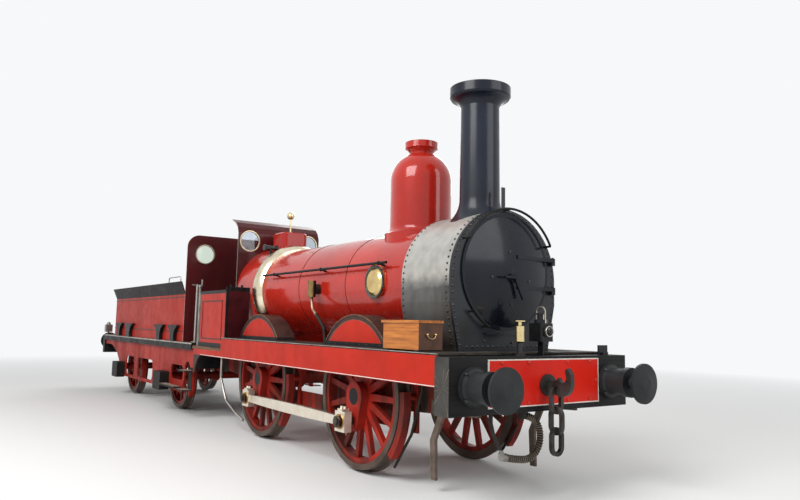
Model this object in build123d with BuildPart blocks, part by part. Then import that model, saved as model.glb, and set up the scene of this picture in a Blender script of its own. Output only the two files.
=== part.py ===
from build123d import *
from math import acos, asin, cos, degrees, radians, sin, sqrt, tan
import os

# Steam locomotive with its tender. Millimetres, +X towards the smokebox, +Y to the left, +Z up.
# The floor is at the flange tips. Heights named below are above it, and places along the
# engine are counted back from the front face of the buffer beam.

# Gauge, floor and datum
tender_rear = 12060.0
tender_beam_thick = 140.0
beam_front = (tender_rear + tender_beam_thick) / 2
flange_depth = 28.0
rail = flange_depth
tyre_back = 682.0
tyre_width = 135.0
tyre_thick = 62.0
seat_gap = 0.3
run_gap = 0.1

# Coupled wheels
tread_r = 736.5
wheel_z = rail + tread_r
front_axle_x = beam_front - 1838.0
wheelbase = 2412.0
rear_axle_x = front_axle_x - wheelbase
axle_r = 85.0
rim_thick = 52.0
rim_inset = 12.0
rim_width = 108.0
spoke_count = 15
spoke_root = 78.0
spoke_tip = 54.0
spoke_thick = 52.0
hub_r = 150.0
hub_face = 866.0
boss_r = 108.0
crank_throw = 247.0
crank_right = -95.0
crank_left = crank_right + 90.0
pin_r = 46.0
pin_end = 1040.0
pin_cap = 16.0
web_in = 215.0
web_thick = 90.0
web_gap = 90.0
web_throw = 305.0
web_r = 130.0
web_pin_r = 90.0

# Coupling rods
rod_y = 970.0
rod_thick = 44.0
rod_end_depth = 82.0
rod_mid_depth = 118.0
strap_long = 190.0
strap_deep = 206.0
strap_thick = 84.0
eye_gap = 1.0

# Main frames
frame_in = 600.0
frame_thick = 28.0
frame_out = frame_in + frame_thick
frame_bottom = rail + 640.0
horn_bottom = rail + 463.0
frame_opening = (beam_front - 3750.0, beam_front - 2600.0, rail + 640.0, rail + 945.0)
horn_half = 330.0
frame_rear_x = beam_front - 6130.0
axlebox_half = 150.0
axlebox_top = 190.0
axlebox_low = 170.0

# Buffer beam, buffers and draw gear
beam_thick = 184.0
beam_half = 1119.0
beam_top = rail + 1227.0
beam_bottom = rail + 750.0
beam_back = beam_front - beam_thick
buffer_y = 865.0
buffer_z = rail + 988.0
buffer_reach = 423.0
head_r = 183.0
buffer_base_r = 163.0
plate_half = 700.0
plate_top = rail + 1205.0
plate_bottom = rail + 800.0
plate_thick = 12.0

# Running boards and valances
board_top = rail + 1250.0
board_thick = 16.0
board_under = board_top - board_thick
board_half = 1100.0
valance_thick = 20.0
valance_bottom = rail + 972.0
board_rear_x = beam_front - 5000.0

# Splashers
splasher_face = 880.0
splasher_back = 640.0
splasher_r = tread_r
splasher_rise = 76.0
splasher_top = wheel_z + tread_r + flange_depth + splasher_rise
splasher_sheet = 10.0
splasher_centre_z = splasher_top - splasher_r
splasher_foot = sqrt(splasher_r ** 2 - (board_top - splasher_centre_z) ** 2)
slot_half = splasher_foot - 6.0
slot_in = frame_out + 8.0
slot_out = tyre_back + tyre_width + 25.0

# Boiler line
boiler_z = rail + 1932.0
boiler_r = 600.0
smokebox_r = boiler_r + 68.0
smokebox_knee = 230.0
smokebox_foot = 587.0
smokebox_foot_drop = 654.0
smokebox_front_x = beam_front - 513.0
smokebox_rear_x = beam_front - 1300.0
smokebox_wall = 14.0
ring_r = smokebox_r + 14.0
ring_thick = 26.0
door_z = rail + 2005.0
door_r = 562.0
door_hole_r = 520.0
door_rim = 18.0
door_dish = 92.0
hinge_y = 622.0
hinge_pin_r = 13.0
hinge_x = smokebox_front_x + 34.0
knuckle_r = 26.0
knuckle_high = 44.0
strap_rise = 147.0
firebox_r = boiler_r + 80.0
firebox_knee = 120.0
firebox_foot_drop = 500.0
firebox_front_x = rear_axle_x - 685.0
firebox_rear_x = firebox_front_x - 610.0
band_front_x = firebox_front_x + 185.0
firebox_foot = frame_in - 15.0
firebox_bottom = rail + 600.0

# Chimney, dome and safety valve
chimney_x = beam_front - 890.0
chimney_r = 197.0
chimney_top = rail + 3926.0
cap_r = 314.0
chimney_bore = 168.0
dome_x = beam_front - 1886.0
dome_r = 346.0
dome_shoulder = rail + 3104.0
dome_neck_z = rail + 3407.0
dome_neck_r = 132.0
dome_top = rail + 3559.0
dome_rim_r = 188.0
valve_x = beam_front - 5190.0
valve_half = 205.0
valve_top = rail + 2830.0
valve_ball_z = rail + 3105.0
valve_ball_r = 58.0

# Half the width of the tender over its frames, which the cab's sides follow
tender_half = 1050.0

# Cab
cab_floor_top = rail + 1100.0
cab_floor_thick = 40.0
cab_floor_under = cab_floor_top - cab_floor_thick
cab_rear_x = beam_front - 6170.0
side_rear_x = cab_rear_x + 125.0
side_out = tender_half + 2.0
side_top = rail + 1905.0
sheet = 12.0
front_sheet_in = 700.0
board_x = firebox_rear_x
board_half_width = 690.0
board_bend_z = rail + 2830.0
canopy_back = 270.0
canopy_rise = 225.0
window_y = 500.0
window_z = rail + 2705.0
window_r = 148.0

# Tender
tender_pin_x = beam_front - 6110.0
tender_front_x = beam_front - 6245.0
tender_rear_x = beam_front - tender_rear
ledge = 45.0
tender_plate = 22.0
tender_frame_top = rail + 1106.0
tender_frame_low = rail + 345.0
tender_deck_top = rail + 1136.0
tender_tread_r = 530.0
tender_axle_z = rail + tender_tread_r
tender_front_axle_x = beam_front - 7600.0
tender_rear_axle_x = beam_front - 10500.0
tender_axle_r = 65.0
tank_front_x = beam_front - 6800.0
tank_rear_x = beam_front - 11300.0
tank_half = tender_half
tank_top = rail + 1900.0
coping_top = rail + 2110.0
coping_flare = 70.0
coal_half = 740.0
coal_rear_x = beam_front - 10250.0
coal_floor = rail + 1330.0
tender_board_top = rail + 2880.0
tender_window_y = 750.0
tender_window_z = rail + 2570.0
tender_window_r = 150.0

os.makedirs("parts", exist_ok=True)

# Tyres and wheel centres

def tyre_points(tread):
    outer = tyre_back + tyre_width
    bore = tread - tyre_thick
    return [(tyre_back, bore), (tyre_back, tread + flange_depth - 6), (tyre_back + 8, tread + flange_depth),
            (tyre_back + 20, tread + flange_depth), (tyre_back + 33, tread + 2), (outer, tread - 4),
            (outer, bore)]


def axle_plane(x, z):
    return Plane(origin=(x, 0, z), x_dir=(0, 1, 0), z_dir=(1, 0, 0))


def make_tyres(x, tread, label):
    z = rail + tread
    with BuildPart() as tyres:
        with BuildSketch(axle_plane(x, z)):
            Polygon(*tyre_points(tread), align=None)
        revolve(axis=Axis((x, 0, z), (0, 1, 0)))
        mirror(about=Plane.XZ)
    tyres.part.label = label
    export_step(tyres.part, "parts/" + label + ".step")


# Coupled wheelsets: axle, hub with crank boss, spokes, rim and crank pin on each side

def make_coupled_centres(x, label, cranked):
    rim_r = tread_r - tyre_thick
    rim_back = tyre_back + rim_inset
    spoke_mid = rim_back + rim_width / 2
    with BuildPart() as centres:
        with BuildSketch(Plane(origin=(x, hub_face, wheel_z), x_dir=(1, 0, 0), z_dir=(0, -1, 0))):
            Circle(axle_r)
        extrude(amount=2 * hub_face)
        for side, crank in ((-1, crank_right), (1, crank_left)):
            out = Plane(origin=(x, 0, wheel_z), x_dir=(1, 0, 0), z_dir=(0, -1, 0))
            away = 1 if side < 0 else -1
            pin = (crank_throw * cos(radians(crank)), crank_throw * sin(radians(crank)))
            with BuildSketch(out.offset(away * rim_back)):
                Circle(rim_r)
                Circle(rim_r - rim_thick, mode=Mode.SUBTRACT)
            extrude(amount=away * rim_width)
            with BuildSketch(out.offset(away * (spoke_mid - spoke_thick / 2))):
                for turn in range(spoke_count):
                    with Locations(Location((0, 0, 0), (0, 0, crank + turn * 360 / spoke_count))):
                        Polygon((hub_r - 20, -spoke_root / 2), (rim_r - rim_thick + 6, -spoke_tip / 2),
                                (rim_r - rim_thick + 6, spoke_tip / 2), (hub_r - 20, spoke_root / 2),
                                align=None)
            extrude(amount=away * spoke_thick)
            with BuildSketch(out.offset(away * rim_back)):
                Circle(hub_r)
                with Locations(pin):
                    Circle(boss_r)
                with Locations(Location((0, 0, 0), (0, 0, crank))):
                    Polygon((0, -hub_r), (crank_throw, -boss_r), (crank_throw, boss_r), (0, hub_r),
                            align=None)
            extrude(amount=away * (hub_face - rim_back))
            with BuildSketch(out.offset(away * (hub_face - 10))):
                with Locations(pin):
                    Circle(pin_r)
            extrude(amount=away * (pin_end - hub_face + 10))
            with BuildSketch(out.offset(away * pin_end)):
                with Locations(pin):
                    Circle(pin_r + 14)
            extrude(amount=away * pin_cap)
        if cranked:
            for side, crank in ((-1, crank_right), (1, crank_left)):
                away = 1 if side < 0 else -1
                inside = (web_throw * cos(radians(crank + 180)), web_throw * sin(radians(crank + 180)))
                for start in (web_in, web_in + web_thick + web_gap):
                    with BuildSketch(out.offset(away * start)):
                        Circle(web_r)
                        with Locations(inside):
                            Circle(web_r)
                        with Locations(Location((0, 0, 0), (0, 0, crank + 180))):
                            with Locations((web_throw / 2, 0)):
                                Rectangle(web_throw, 2 * web_r)
                    extrude(amount=away * web_thick)
                with BuildSketch(out.offset(away * (web_in + web_thick))):
                    Circle(web_pin_r)
                extrude(amount=away * web_gap, mode=Mode.SUBTRACT)
                with BuildSketch(out.offset(away * (web_in + web_thick))):
                    with Locations(inside):
                        Circle(web_pin_r)
                extrude(amount=away * web_gap)
    centres.part.label = label
    export_step(centres.part, "parts/" + label + ".step")


make_tyres(front_axle_x, tread_r, "front_tyres")
make_tyres(rear_axle_x, tread_r, "rear_tyres")
make_coupled_centres(front_axle_x, "front_wheels", False)
make_coupled_centres(rear_axle_x, "rear_wheels", True)

# Coupling rods, fish-bellied, with square strap ends, brasses and an oil cup on each strap
brass_r = 76.0
brass_proud = 12.0
cup_long = 92.0
cup_high = 24.0
cup_r = 17.0
for side, crank, label in ((-1, crank_right, "coupling_rod_right"), (1, crank_left, "coupling_rod_left")):
    pin_x = crank_throw * cos(radians(crank))
    pin_z = wheel_z + crank_throw * sin(radians(crank))
    away = 1 if side < 0 else -1
    side_plane = Plane(origin=(front_axle_x + pin_x, 0, pin_z), x_dir=(1, 0, 0), z_dir=(0, -1, 0))
    with BuildPart() as rod:
        with BuildSketch(side_plane.offset(away * (rod_y - rod_thick / 2))):
            with BuildLine():
                ThreePointArc((0, rod_end_depth / 2), (-wheelbase / 2, rod_mid_depth / 2),
                              (-wheelbase, rod_end_depth / 2))
                Line((-wheelbase, rod_end_depth / 2), (-wheelbase, -rod_end_depth / 2))
                ThreePointArc((-wheelbase, -rod_end_depth / 2), (-wheelbase / 2, -rod_mid_depth / 2),
                              (0, -rod_end_depth / 2))
                Line((0, -rod_end_depth / 2), (0, rod_end_depth / 2))
            make_face()
        extrude(amount=away * rod_thick)
        with BuildSketch(side_plane.offset(away * (rod_y - strap_thick / 2))):
            with Locations((0, 0), (-wheelbase, 0)):
                Rectangle(strap_long, strap_deep)
            with Locations((0, (strap_deep + cup_high) / 2), (-wheelbase, (strap_deep + cup_high) / 2)):
                Rectangle(cup_long, cup_high)
        extrude(amount=away * strap_thick)
        with BuildSketch(Plane.XY.offset(pin_z + strap_deep / 2 + cup_high)):
            for shift in (-cup_long / 3, cup_long / 3):
                with Locations((front_axle_x + pin_x + shift, side * rod_y),
                               (rear_axle_x + pin_x + shift, side * rod_y)):
                    Circle(cup_r)
        extrude(amount=cup_high)
        with BuildSketch(side_plane.offset(away * (rod_y - strap_thick / 2 - brass_proud))):
            with Locations((0, 0), (-wheelbase, 0)):
                Circle(brass_r)
        extrude(amount=away * (strap_thick + 2 * brass_proud))
        with BuildSketch(side_plane.offset(away * (rod_y - strap_thick))):
            Circle(pin_r + run_gap)
            with Locations((-wheelbase, 0)):
                Circle(pin_r + eye_gap)
        extrude(amount=away * 2 * strap_thick, mode=Mode.SUBTRACT)
    rod.part.label = label
    export_step(rod.part, "parts/" + label + ".step")

# Main frames: two plates with horns at each axle, an opening between the wheels, axleboxes and guard irons
horn_slope = 200.0
frame_front_rise = 60.0
frame_rear_rise = 120.0
box_proud = 30.0
guard_thick = 30.0
guard_iron = [
    # back from the beam face, above the rail: down the front edge, then up the rear edge
    (-600.0, 790.0), (-610.0, 700.0), (-745.0, 440.0), (-735.0, 80.0),
    (-805.0, 80.0), (-820.0, 430.0), (-695.0, 690.0), (-690.0, 790.0),
]
with BuildPart() as main_frames:
    with BuildSketch(Plane(origin=(0, frame_out, 0), x_dir=(1, 0, 0), z_dir=(0, -1, 0))):
        with BuildLine():
            Polyline((beam_back, board_under), (board_rear_x, board_under), (board_rear_x, cab_floor_under),
                     (frame_rear_x, cab_floor_under), (frame_rear_x, frame_bottom + frame_rear_rise),
                     (rear_axle_x - horn_half - horn_slope, frame_bottom),
                     (rear_axle_x - horn_half, horn_bottom),
                     (front_axle_x + horn_half, horn_bottom),
                     (front_axle_x + horn_half + horn_slope, frame_bottom),
                     (beam_back, frame_bottom + frame_front_rise), (beam_back, board_under))
        make_face()
        opening_rear, opening_front, opening_low, opening_high = frame_opening
        with Locations(((opening_rear + opening_front) / 2, (opening_low + opening_high) / 2)):
            RectangleRounded(opening_front - opening_rear, opening_high - opening_low, 110,
                             mode=Mode.SUBTRACT)
    extrude(amount=frame_thick)
    for x in (front_axle_x, rear_axle_x):
        with BuildSketch(Plane(origin=(x, frame_out + box_proud, wheel_z), x_dir=(1, 0, 0),
                               z_dir=(0, -1, 0))):
            with Locations((0, (axlebox_top - axlebox_low) / 2)):
                Rectangle(2 * axlebox_half, axlebox_top + axlebox_low)
        extrude(amount=frame_thick + 2 * box_proud + 50)
        with BuildSketch(Plane(origin=(x, frame_out + box_proud + 10, wheel_z), x_dir=(1, 0, 0),
                               z_dir=(0, -1, 0))):
            Circle(axle_r + run_gap)
        extrude(amount=frame_thick + 2 * box_proud + 80, mode=Mode.SUBTRACT)
    with BuildSketch(Plane(origin=(beam_front, frame_out + guard_thick, rail), x_dir=(1, 0, 0),
                           z_dir=(0, -1, 0))):
        Polygon(*guard_iron, align=None)
    extrude(amount=guard_thick)
    mirror(about=Plane.XZ)
main_frames.part.label = "main_frames"
export_step(main_frames.part, "parts/main_frames.step")

# Buffer beam of thick timber, with the plate on its face
with BuildPart() as buffer_beam:
    with BuildSketch(Plane.YZ.offset(beam_back)):
        with Locations((0, (beam_top + beam_bottom) / 2)):
            Rectangle(2 * beam_half, beam_top - beam_bottom)
    extrude(amount=beam_thick)
buffer_beam.part.label = "buffer_beam"
export_step(buffer_beam.part, "parts/buffer_beam.step")

with BuildPart() as beam_plate:
    with BuildSketch(Plane.YZ.offset(beam_front)):
        with Locations((0, (plate_top + plate_bottom) / 2)):
            Rectangle(2 * plate_half, plate_top - plate_bottom)
    extrude(amount=plate_thick)
beam_plate.part.label = "beam_plate"
export_step(beam_plate.part, "parts/beam_plate.step")

# Buffers: base flange, shank, collar and large slightly domed head
buffer_profile = [(0, 0), (0, buffer_base_r), (38, buffer_base_r), (38, 150), (60, 128), (205, 122),
                  (205, 138), (262, 138),
                  (262, 60), (buffer_reach - 45, 60), (buffer_reach - 45, head_r),
                  (buffer_reach - 22, head_r),
                  (buffer_reach, 60), (buffer_reach, 0)]


def make_buffers(face_x, forward, label):
    with BuildPart() as buffers:
        for side in (-1, 1):
            with BuildSketch(Plane(origin=(face_x, side * buffer_y, buffer_z), x_dir=(forward, 0, 0),
                                   z_dir=(0, 1, 0))):
                Polygon(*buffer_profile, align=None)
            revolve(axis=Axis((face_x, side * buffer_y, buffer_z), (1, 0, 0)))
    buffers.part.label = label
    export_step(buffers.part, "parts/" + label + ".step")


make_buffers(beam_front, 1, "front_buffers")

# Draw hook through a boss on the plate, with an eye for the chain behind its throat
hook_z = buffer_z - 12
hook_thick = 46.0
hook_eye = 105.0
hook_eye_r = 30.0
with BuildPart() as draw_hook:
    with BuildSketch(Plane.YZ.offset(beam_front + plate_thick)):
        with Locations((0, hook_z)):
            Circle(95)
    extrude(amount=26)
    with BuildSketch(Plane(origin=(beam_front + plate_thick, hook_thick / 2, hook_z), x_dir=(1, 0, 0),
                           z_dir=(0, -1, 0))):
        with BuildLine():
            Polyline((20, -42), (20, 42), (120, 48), (150, 74))
            ThreePointArc((150, 74), (196, 34), (236, 84))
            Polyline((236, 84), (222, 142), (250, 160), (286, 110), (290, 40))
            ThreePointArc((290, 40), (246, -62), (150, -86))
            Polyline((150, -86), (70, -60), (20, -42))
        make_face()
        with Locations((hook_eye, -14)):
            Circle(hook_eye_r, mode=Mode.SUBTRACT)
    extrude(amount=hook_thick)
draw_hook.part.label = "draw_hook"
export_step(draw_hook.part, "parts/draw_hook.step")

# Three-link chain hanging from the eye, each link turned a quarter from the last
link_rod = 34.0
link_gap = 88.0
link_inner = 178.0
chain_x = beam_front + plate_thick + hook_eye
bar_drop = sqrt(hook_eye_r ** 2 - (link_rod / 2) ** 2) - seat_gap
end_drop = link_gap / 2 - sqrt((link_gap / 2) ** 2 - (hook_thick / 2) ** 2)
first_z = hook_z - 14 - bar_drop + end_drop - link_inner / 2
with BuildPart() as coupling_chain:
    for link in range(3):
        crosswise = link % 2 == 0
        middle = (chain_x, 0, first_z - link * (link_inner - seat_gap))
        plane = Plane(origin=middle, x_dir=(0, 1, 0), z_dir=(1, 0, 0)) if crosswise else Plane(
            origin=middle, x_dir=(1, 0, 0), z_dir=(0, -1, 0))
        with BuildSketch(plane.offset(-link_rod / 2)):
            SlotOverall(link_inner + 2 * link_rod, link_gap + 2 * link_rod, rotation=90)
            SlotOverall(link_inner, link_gap, rotation=90, mode=Mode.SUBTRACT)
        extrude(amount=link_rod)
coupling_chain.part.label = "coupling_chain"
export_step(coupling_chain.part, "parts/coupling_chain.step")

# Brake hose below the beam: an elbow out of its underside, the hose in a loop, and a clamp on a flat hanger
hose_x = beam_front - 100.0
hose_d = 54.0
hose_loop_y = -157.0
hose_loop_z = rail + 515.0
hose_loop_r = 185.0
hose_turn = 28.0
hose_start_heading = -15.0
hose_run = 2 * hose_loop_r * tan(radians(hose_turn / 2))
hose_vertex_r = hose_loop_r / cos(radians(hose_turn / 2))
hose_points = []
for step in range(6):
    angle = radians(hose_start_heading + 90 - hose_turn * (step + 0.5))
    hose_points.append((hose_loop_y + hose_vertex_r * cos(angle), hose_loop_z + hose_vertex_r * sin(angle)))
heading = radians(hose_start_heading)
hose_start = (hose_points[0][0] - hose_run * cos(heading), hose_points[0][1] - hose_run * sin(heading))
hose_points.insert(0, hose_start)
for heading_deg in (-183.0, -188.0, -192.0):
    heading = radians(heading_deg)
    last = hose_points[-1]
    hose_points.append((last[0] + hose_run * cos(heading), last[1] + hose_run * sin(heading)))
hose_radii = []
for before, here, after in zip(hose_points, hose_points[1:], hose_points[2:]):
    first = Vector(here[0] - before[0], here[1] - before[1])
    second = Vector(after[0] - here[0], after[1] - here[1])
    turn = radians(first.get_angle(second))
    hose_radii.append(0.45 * min(first.length, second.length) / tan(turn / 2))
print("brake hose radii", [round(r) for r in hose_radii], "diameter", hose_d)
hose_plane = Plane(origin=(hose_x, 0, 0), x_dir=(0, 1, 0), z_dir=(1, 0, 0))
with BuildPart() as brake_hose:
    with BuildLine(hose_plane) as hose_route:
        FilletPolyline(*hose_points, radius=hose_radii)
    with BuildSketch(Plane(origin=hose_route.wire() @ 0, z_dir=hose_route.wire() % 0)):
        Circle(hose_d / 2)
    sweep(path=hose_route.wire())
print("brake hose length", round(hose_route.wire().length, 1), "volume", round(brake_hose.part.volume),
      "points", [(round(hose_x, 2), round(y, 2), round(z, 2)) for y, z in hose_points])
brake_hose.part.label = "brake_hose"
export_step(brake_hose.part, "parts/brake_hose.step")

cuff_r = 30.0
cuff_long = 50.0
elbow_r = 40.0
clamp_r = 36.0
clamp_long = 58.0
hanger_wide = 44.0
hanger_line = [
    # across the engine, above the rail: outer edge up, then inner edge down
    (-418.0, 370.0), (-476.0, 446.0), (-553.0, 582.0), (-577.0, 665.0), (-577.0, 750.0),
    (-567.0, 750.0), (-567.0, 667.0), (-543.0, 587.0), (-466.0, 452.0), (-408.0, 382.0),
]
with BuildPart() as brake_pipe:
    with BuildSketch(Plane(origin=hose_route.wire() @ 0, z_dir=-(hose_route.wire() % 0))):
        Circle(cuff_r)
    extrude(amount=cuff_long)
    with BuildSketch(Plane.XY.offset(beam_bottom)):
        with Locations((hose_x, hose_start[0] - cuff_long)):
            Circle(elbow_r)
    extrude(amount=hose_start[1] - 24 - beam_bottom)
    with BuildSketch(Plane(origin=hose_route.wire() @ 1, z_dir=hose_route.wire() % 1)):
        Circle(clamp_r)
    extrude(amount=clamp_long)
    with BuildSketch(Plane(origin=(hose_x - hanger_wide / 2, 0, rail), x_dir=(0, 1, 0), z_dir=(1, 0, 0))):
        Polygon(*hanger_line, align=None)
    extrude(amount=hanger_wide)
brake_pipe.part.label = "brake_pipe"
export_step(brake_pipe.part, "parts/brake_pipe.step")

# Running boards round the smokebox and along both sides, slotted for the wheels
with BuildPart() as running_boards:
    with BuildSketch(Plane.XY.offset(board_under)):
        with BuildLine():
            Polyline((beam_back, -board_half), (beam_back, board_half), (board_rear_x, board_half),
                     (board_rear_x, smokebox_foot), (smokebox_rear_x, smokebox_foot),
                     (smokebox_rear_x, -smokebox_foot), (board_rear_x, -smokebox_foot),
                     (board_rear_x, -board_half), (beam_back, -board_half))
        make_face()
        for x in (front_axle_x, rear_axle_x):
            for side in (-1, 1):
                with Locations((x, side * (slot_in + slot_out) / 2)):
                    Rectangle(2 * slot_half, slot_out - slot_in, mode=Mode.SUBTRACT)
    extrude(amount=board_thick)
running_boards.part.label = "running_boards"
export_step(running_boards.part, "parts/running_boards.step")

# Deep valances below the running boards, dropping with them at the cab and swept down to the step
valance_rear_x = beam_front - 6100.0
sweep_start = (beam_front - 5820.0, valance_bottom)
sweep_middle = (beam_front - 5940.0, rail + 890.0)
sweep_end = (beam_front - 6045.0, rail + 700.0)
with BuildPart() as valances:
    with BuildSketch(Plane(origin=(0, board_half, 0), x_dir=(1, 0, 0), z_dir=(0, -1, 0))):
        with BuildLine():
            Polyline((board_rear_x, board_under), (beam_back, board_under), (beam_back, valance_bottom),
                     sweep_start)
            ThreePointArc(sweep_start, sweep_middle, sweep_end)
            Polyline(sweep_end, (valance_rear_x, sweep_end[1]), (valance_rear_x, cab_floor_under),
                     (board_rear_x, cab_floor_under), (board_rear_x, board_under))
        make_face()
    extrude(amount=valance_thick)
    mirror(about=Plane.XZ)
valances.part.label = "valances"
export_step(valances.part, "parts/valances.step")

# Splashers: an arched top over each wheel and its outer face, with an edge bead and a foot strip
bead_wide = 16.0
bead_proud = 6.0
foot_strip_high = 40.0
foot_strip_proud = 8.0
with BuildPart() as splashers:
    for x in (front_axle_x, rear_axle_x):
        over = Plane(origin=(x, 0, splasher_centre_z), x_dir=(1, 0, 0), z_dir=(0, -1, 0))
        below = (0, board_top - splasher_centre_z - splasher_r)
        for start, length, inner_r in ((splasher_back, splasher_face - splasher_back,
                                        splasher_r - splasher_sheet),
                                       (splasher_face - splasher_sheet, splasher_sheet, 0),
                                       (splasher_face, bead_proud, splasher_r - bead_wide)):
            with BuildSketch(over.offset(start)):
                Circle(splasher_r)
                if inner_r > 0:
                    Circle(inner_r, mode=Mode.SUBTRACT)
                with Locations(below):
                    Rectangle(2 * splasher_r, 2 * splasher_r, mode=Mode.SUBTRACT)
            extrude(amount=length)
        with BuildSketch(over.offset(splasher_face)):
            with Locations((0, board_top + foot_strip_high / 2 - splasher_centre_z)):
                Rectangle(2 * splasher_foot - 60, foot_strip_high)
        extrude(amount=foot_strip_proud)
    mirror(about=Plane.XZ)
splashers.part.label = "splashers"
export_step(splashers.part, "parts/splashers.step")


# Smokebox: a round-topped shell on a narrower foot, with a flanged front plate round the door hole
def arch_outline(r, knee, foot, foot_drop, bottom):
    with BuildSketch() as outline:
        with BuildLine():
            ThreePointArc((-r, boiler_z), (0, boiler_z + r), (r, boiler_z))
            Polyline((r, boiler_z), (r, boiler_z - knee), (foot, boiler_z - foot_drop), (foot, bottom),
                     (-foot, bottom), (-foot, boiler_z - foot_drop), (-r, boiler_z - knee), (-r, boiler_z))
        make_face()
    return outline.sketch


top_iron_x = smokebox_front_x - 37.0
top_iron_wide = 50.0
top_iron_thick = 10.0
top_iron_high = 240.0
ledge_half = 270.0
ledge_low = rail + 1405.0
ledge_high = 18.0
ledge_out = 40.0
lug_high = 28.0
pin_over = 10.0
with BuildPart() as smokebox:
    with BuildSketch(Plane.YZ.offset(smokebox_rear_x)):
        add(arch_outline(smokebox_r, smokebox_knee, smokebox_foot, smokebox_foot_drop, board_top))
    extrude(amount=smokebox_front_x - ring_thick - smokebox_rear_x)
    with BuildSketch(Plane.YZ.offset(smokebox_rear_x + smokebox_wall)):
        add(arch_outline(smokebox_r - smokebox_wall, smokebox_knee, smokebox_foot - smokebox_wall,
                         smokebox_foot_drop, board_top + smokebox_wall))
    extrude(amount=smokebox_front_x - smokebox_rear_x, mode=Mode.SUBTRACT)
    with BuildSketch(Plane.YZ.offset(smokebox_front_x - ring_thick)):
        add(arch_outline(ring_r, smokebox_knee, smokebox_foot, smokebox_foot_drop, board_top))
        with Locations((0, door_z)):
            Circle(door_hole_r, mode=Mode.SUBTRACT)
    extrude(amount=ring_thick)
    for rise in (-strap_rise, strap_rise):
        knuckle_low = door_z + rise - knuckle_high / 2
        with BuildSketch(Plane.XY.offset(knuckle_low - seat_gap)):
            with Locations((hinge_x, hinge_y)):
                Circle(knuckle_r)
            with Locations(((hinge_x + smokebox_front_x) / 2, hinge_y)):
                Rectangle(hinge_x - smokebox_front_x, 2 * knuckle_r)
        extrude(amount=-lug_high)
        with BuildSketch(Plane.XY.offset(knuckle_low - pin_over)):
            with Locations((hinge_x, hinge_y)):
                Circle(hinge_pin_r)
        extrude(amount=knuckle_high + 2 * pin_over)
    with BuildSketch(Plane.XY.offset(boiler_z + smokebox_r - top_iron_thick)):
        with Locations((top_iron_x, 0)):
            Rectangle(top_iron_thick, top_iron_wide)
    extrude(amount=top_iron_high + top_iron_thick)
    with BuildSketch(Plane.XY.offset(ledge_low)):
        with Locations((smokebox_front_x + ledge_out / 2, 0)):
            Rectangle(ledge_out, 2 * ledge_half)
    extrude(amount=ledge_high)
smokebox.part.label = "smokebox"
export_step(smokebox.part, "parts/smokebox.step")

# Dished smokebox door with its hinge straps and dart handles
door_back = smokebox_front_x + seat_gap
door_skin = 14.0
dish_r = door_r - 30.0
dish_deep = door_dish - door_rim
cap_sphere_r = (dish_r ** 2 + dish_deep ** 2) / (2 * dish_deep)
cap_angle = degrees(asin(dish_r / cap_sphere_r))
skin_sphere_r = cap_sphere_r - door_skin
skin_edge_r = door_r - 42.0
skin_angle = degrees(asin(skin_edge_r / skin_sphere_r))
skin_edge_x = door_dish - cap_sphere_r + sqrt(skin_sphere_r ** 2 - skin_edge_r ** 2)
strap_high = 34.0
dart_z = rail + 1946.0
dart_x = door_back + door_dish
with BuildPart() as smokebox_door:
    with BuildSketch(Plane(origin=(door_back, 0, door_z), x_dir=(1, 0, 0), z_dir=(0, -1, 0))):
        with BuildLine():
            Polyline((skin_edge_x, skin_edge_r), (0, skin_edge_r), (0, door_r), (door_rim, door_r),
                     (door_rim, dish_r))
            CenterArc((door_dish - cap_sphere_r, 0), cap_sphere_r, 0, cap_angle)
            Line((door_dish, 0), (door_dish - door_skin, 0))
            CenterArc((door_dish - cap_sphere_r, 0), skin_sphere_r, 0, skin_angle)
        make_face()
    revolve(axis=Axis((door_back, 0, door_z), (1, 0, 0)))
    for rise in (-strap_rise, strap_rise):
        with BuildSketch(Plane.XY.offset(door_z + rise - strap_high / 2)):
            Polygon((hinge_x, hinge_y - knuckle_r), (hinge_x, hinge_y),
                    (hinge_x + knuckle_r - 4, hinge_y - 12),
                    (door_back + 62, 420), (door_back + 98, 70), (door_back + 76, 70), (door_back + 53, 300),
                    (door_back + 13, door_r - 60), align=None)
        extrude(amount=strap_high)
        with BuildSketch(Plane.XY.offset(door_z + rise - knuckle_high / 2)):
            with Locations((hinge_x, hinge_y)):
                Circle(knuckle_r)
        extrude(amount=knuckle_high)
        with BuildSketch(Plane.XY.offset(door_z + rise - knuckle_high / 2)):
            with Locations((hinge_x, hinge_y)):
                Circle(hinge_pin_r + run_gap)
        extrude(amount=knuckle_high, mode=Mode.SUBTRACT)
    for start, length, boss, angle, reach, wide in ((-14, 40, 46, 0, 0, 0), (26, 22, 24, -62, 235, 26),
                                                    (48, 20, 20, 180, 150, 22)):
        with BuildSketch(Plane.YZ.offset(dart_x + start)):
            with Locations((0, dart_z)):
                Circle(boss)
                if reach > 0:
                    with Locations(Location((0, 0, 0), (0, 0, angle))):
                        with Locations((reach / 2, 0)):
                            SlotOverall(reach, wide)
        extrude(amount=length)
smokebox_door.part.label = "smokebox_door"
export_step(smokebox_door.part, "parts/smokebox_door.step")


# Shapes that stand on the round top of the boiler or smokebox are cut back to it
def saddle_cut(r):
    with Locations(Location((0, 0, boiler_z), (0, 90, 0))):
        Cylinder(r + seat_gap, 4 * beam_front, mode=Mode.SUBTRACT)


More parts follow.
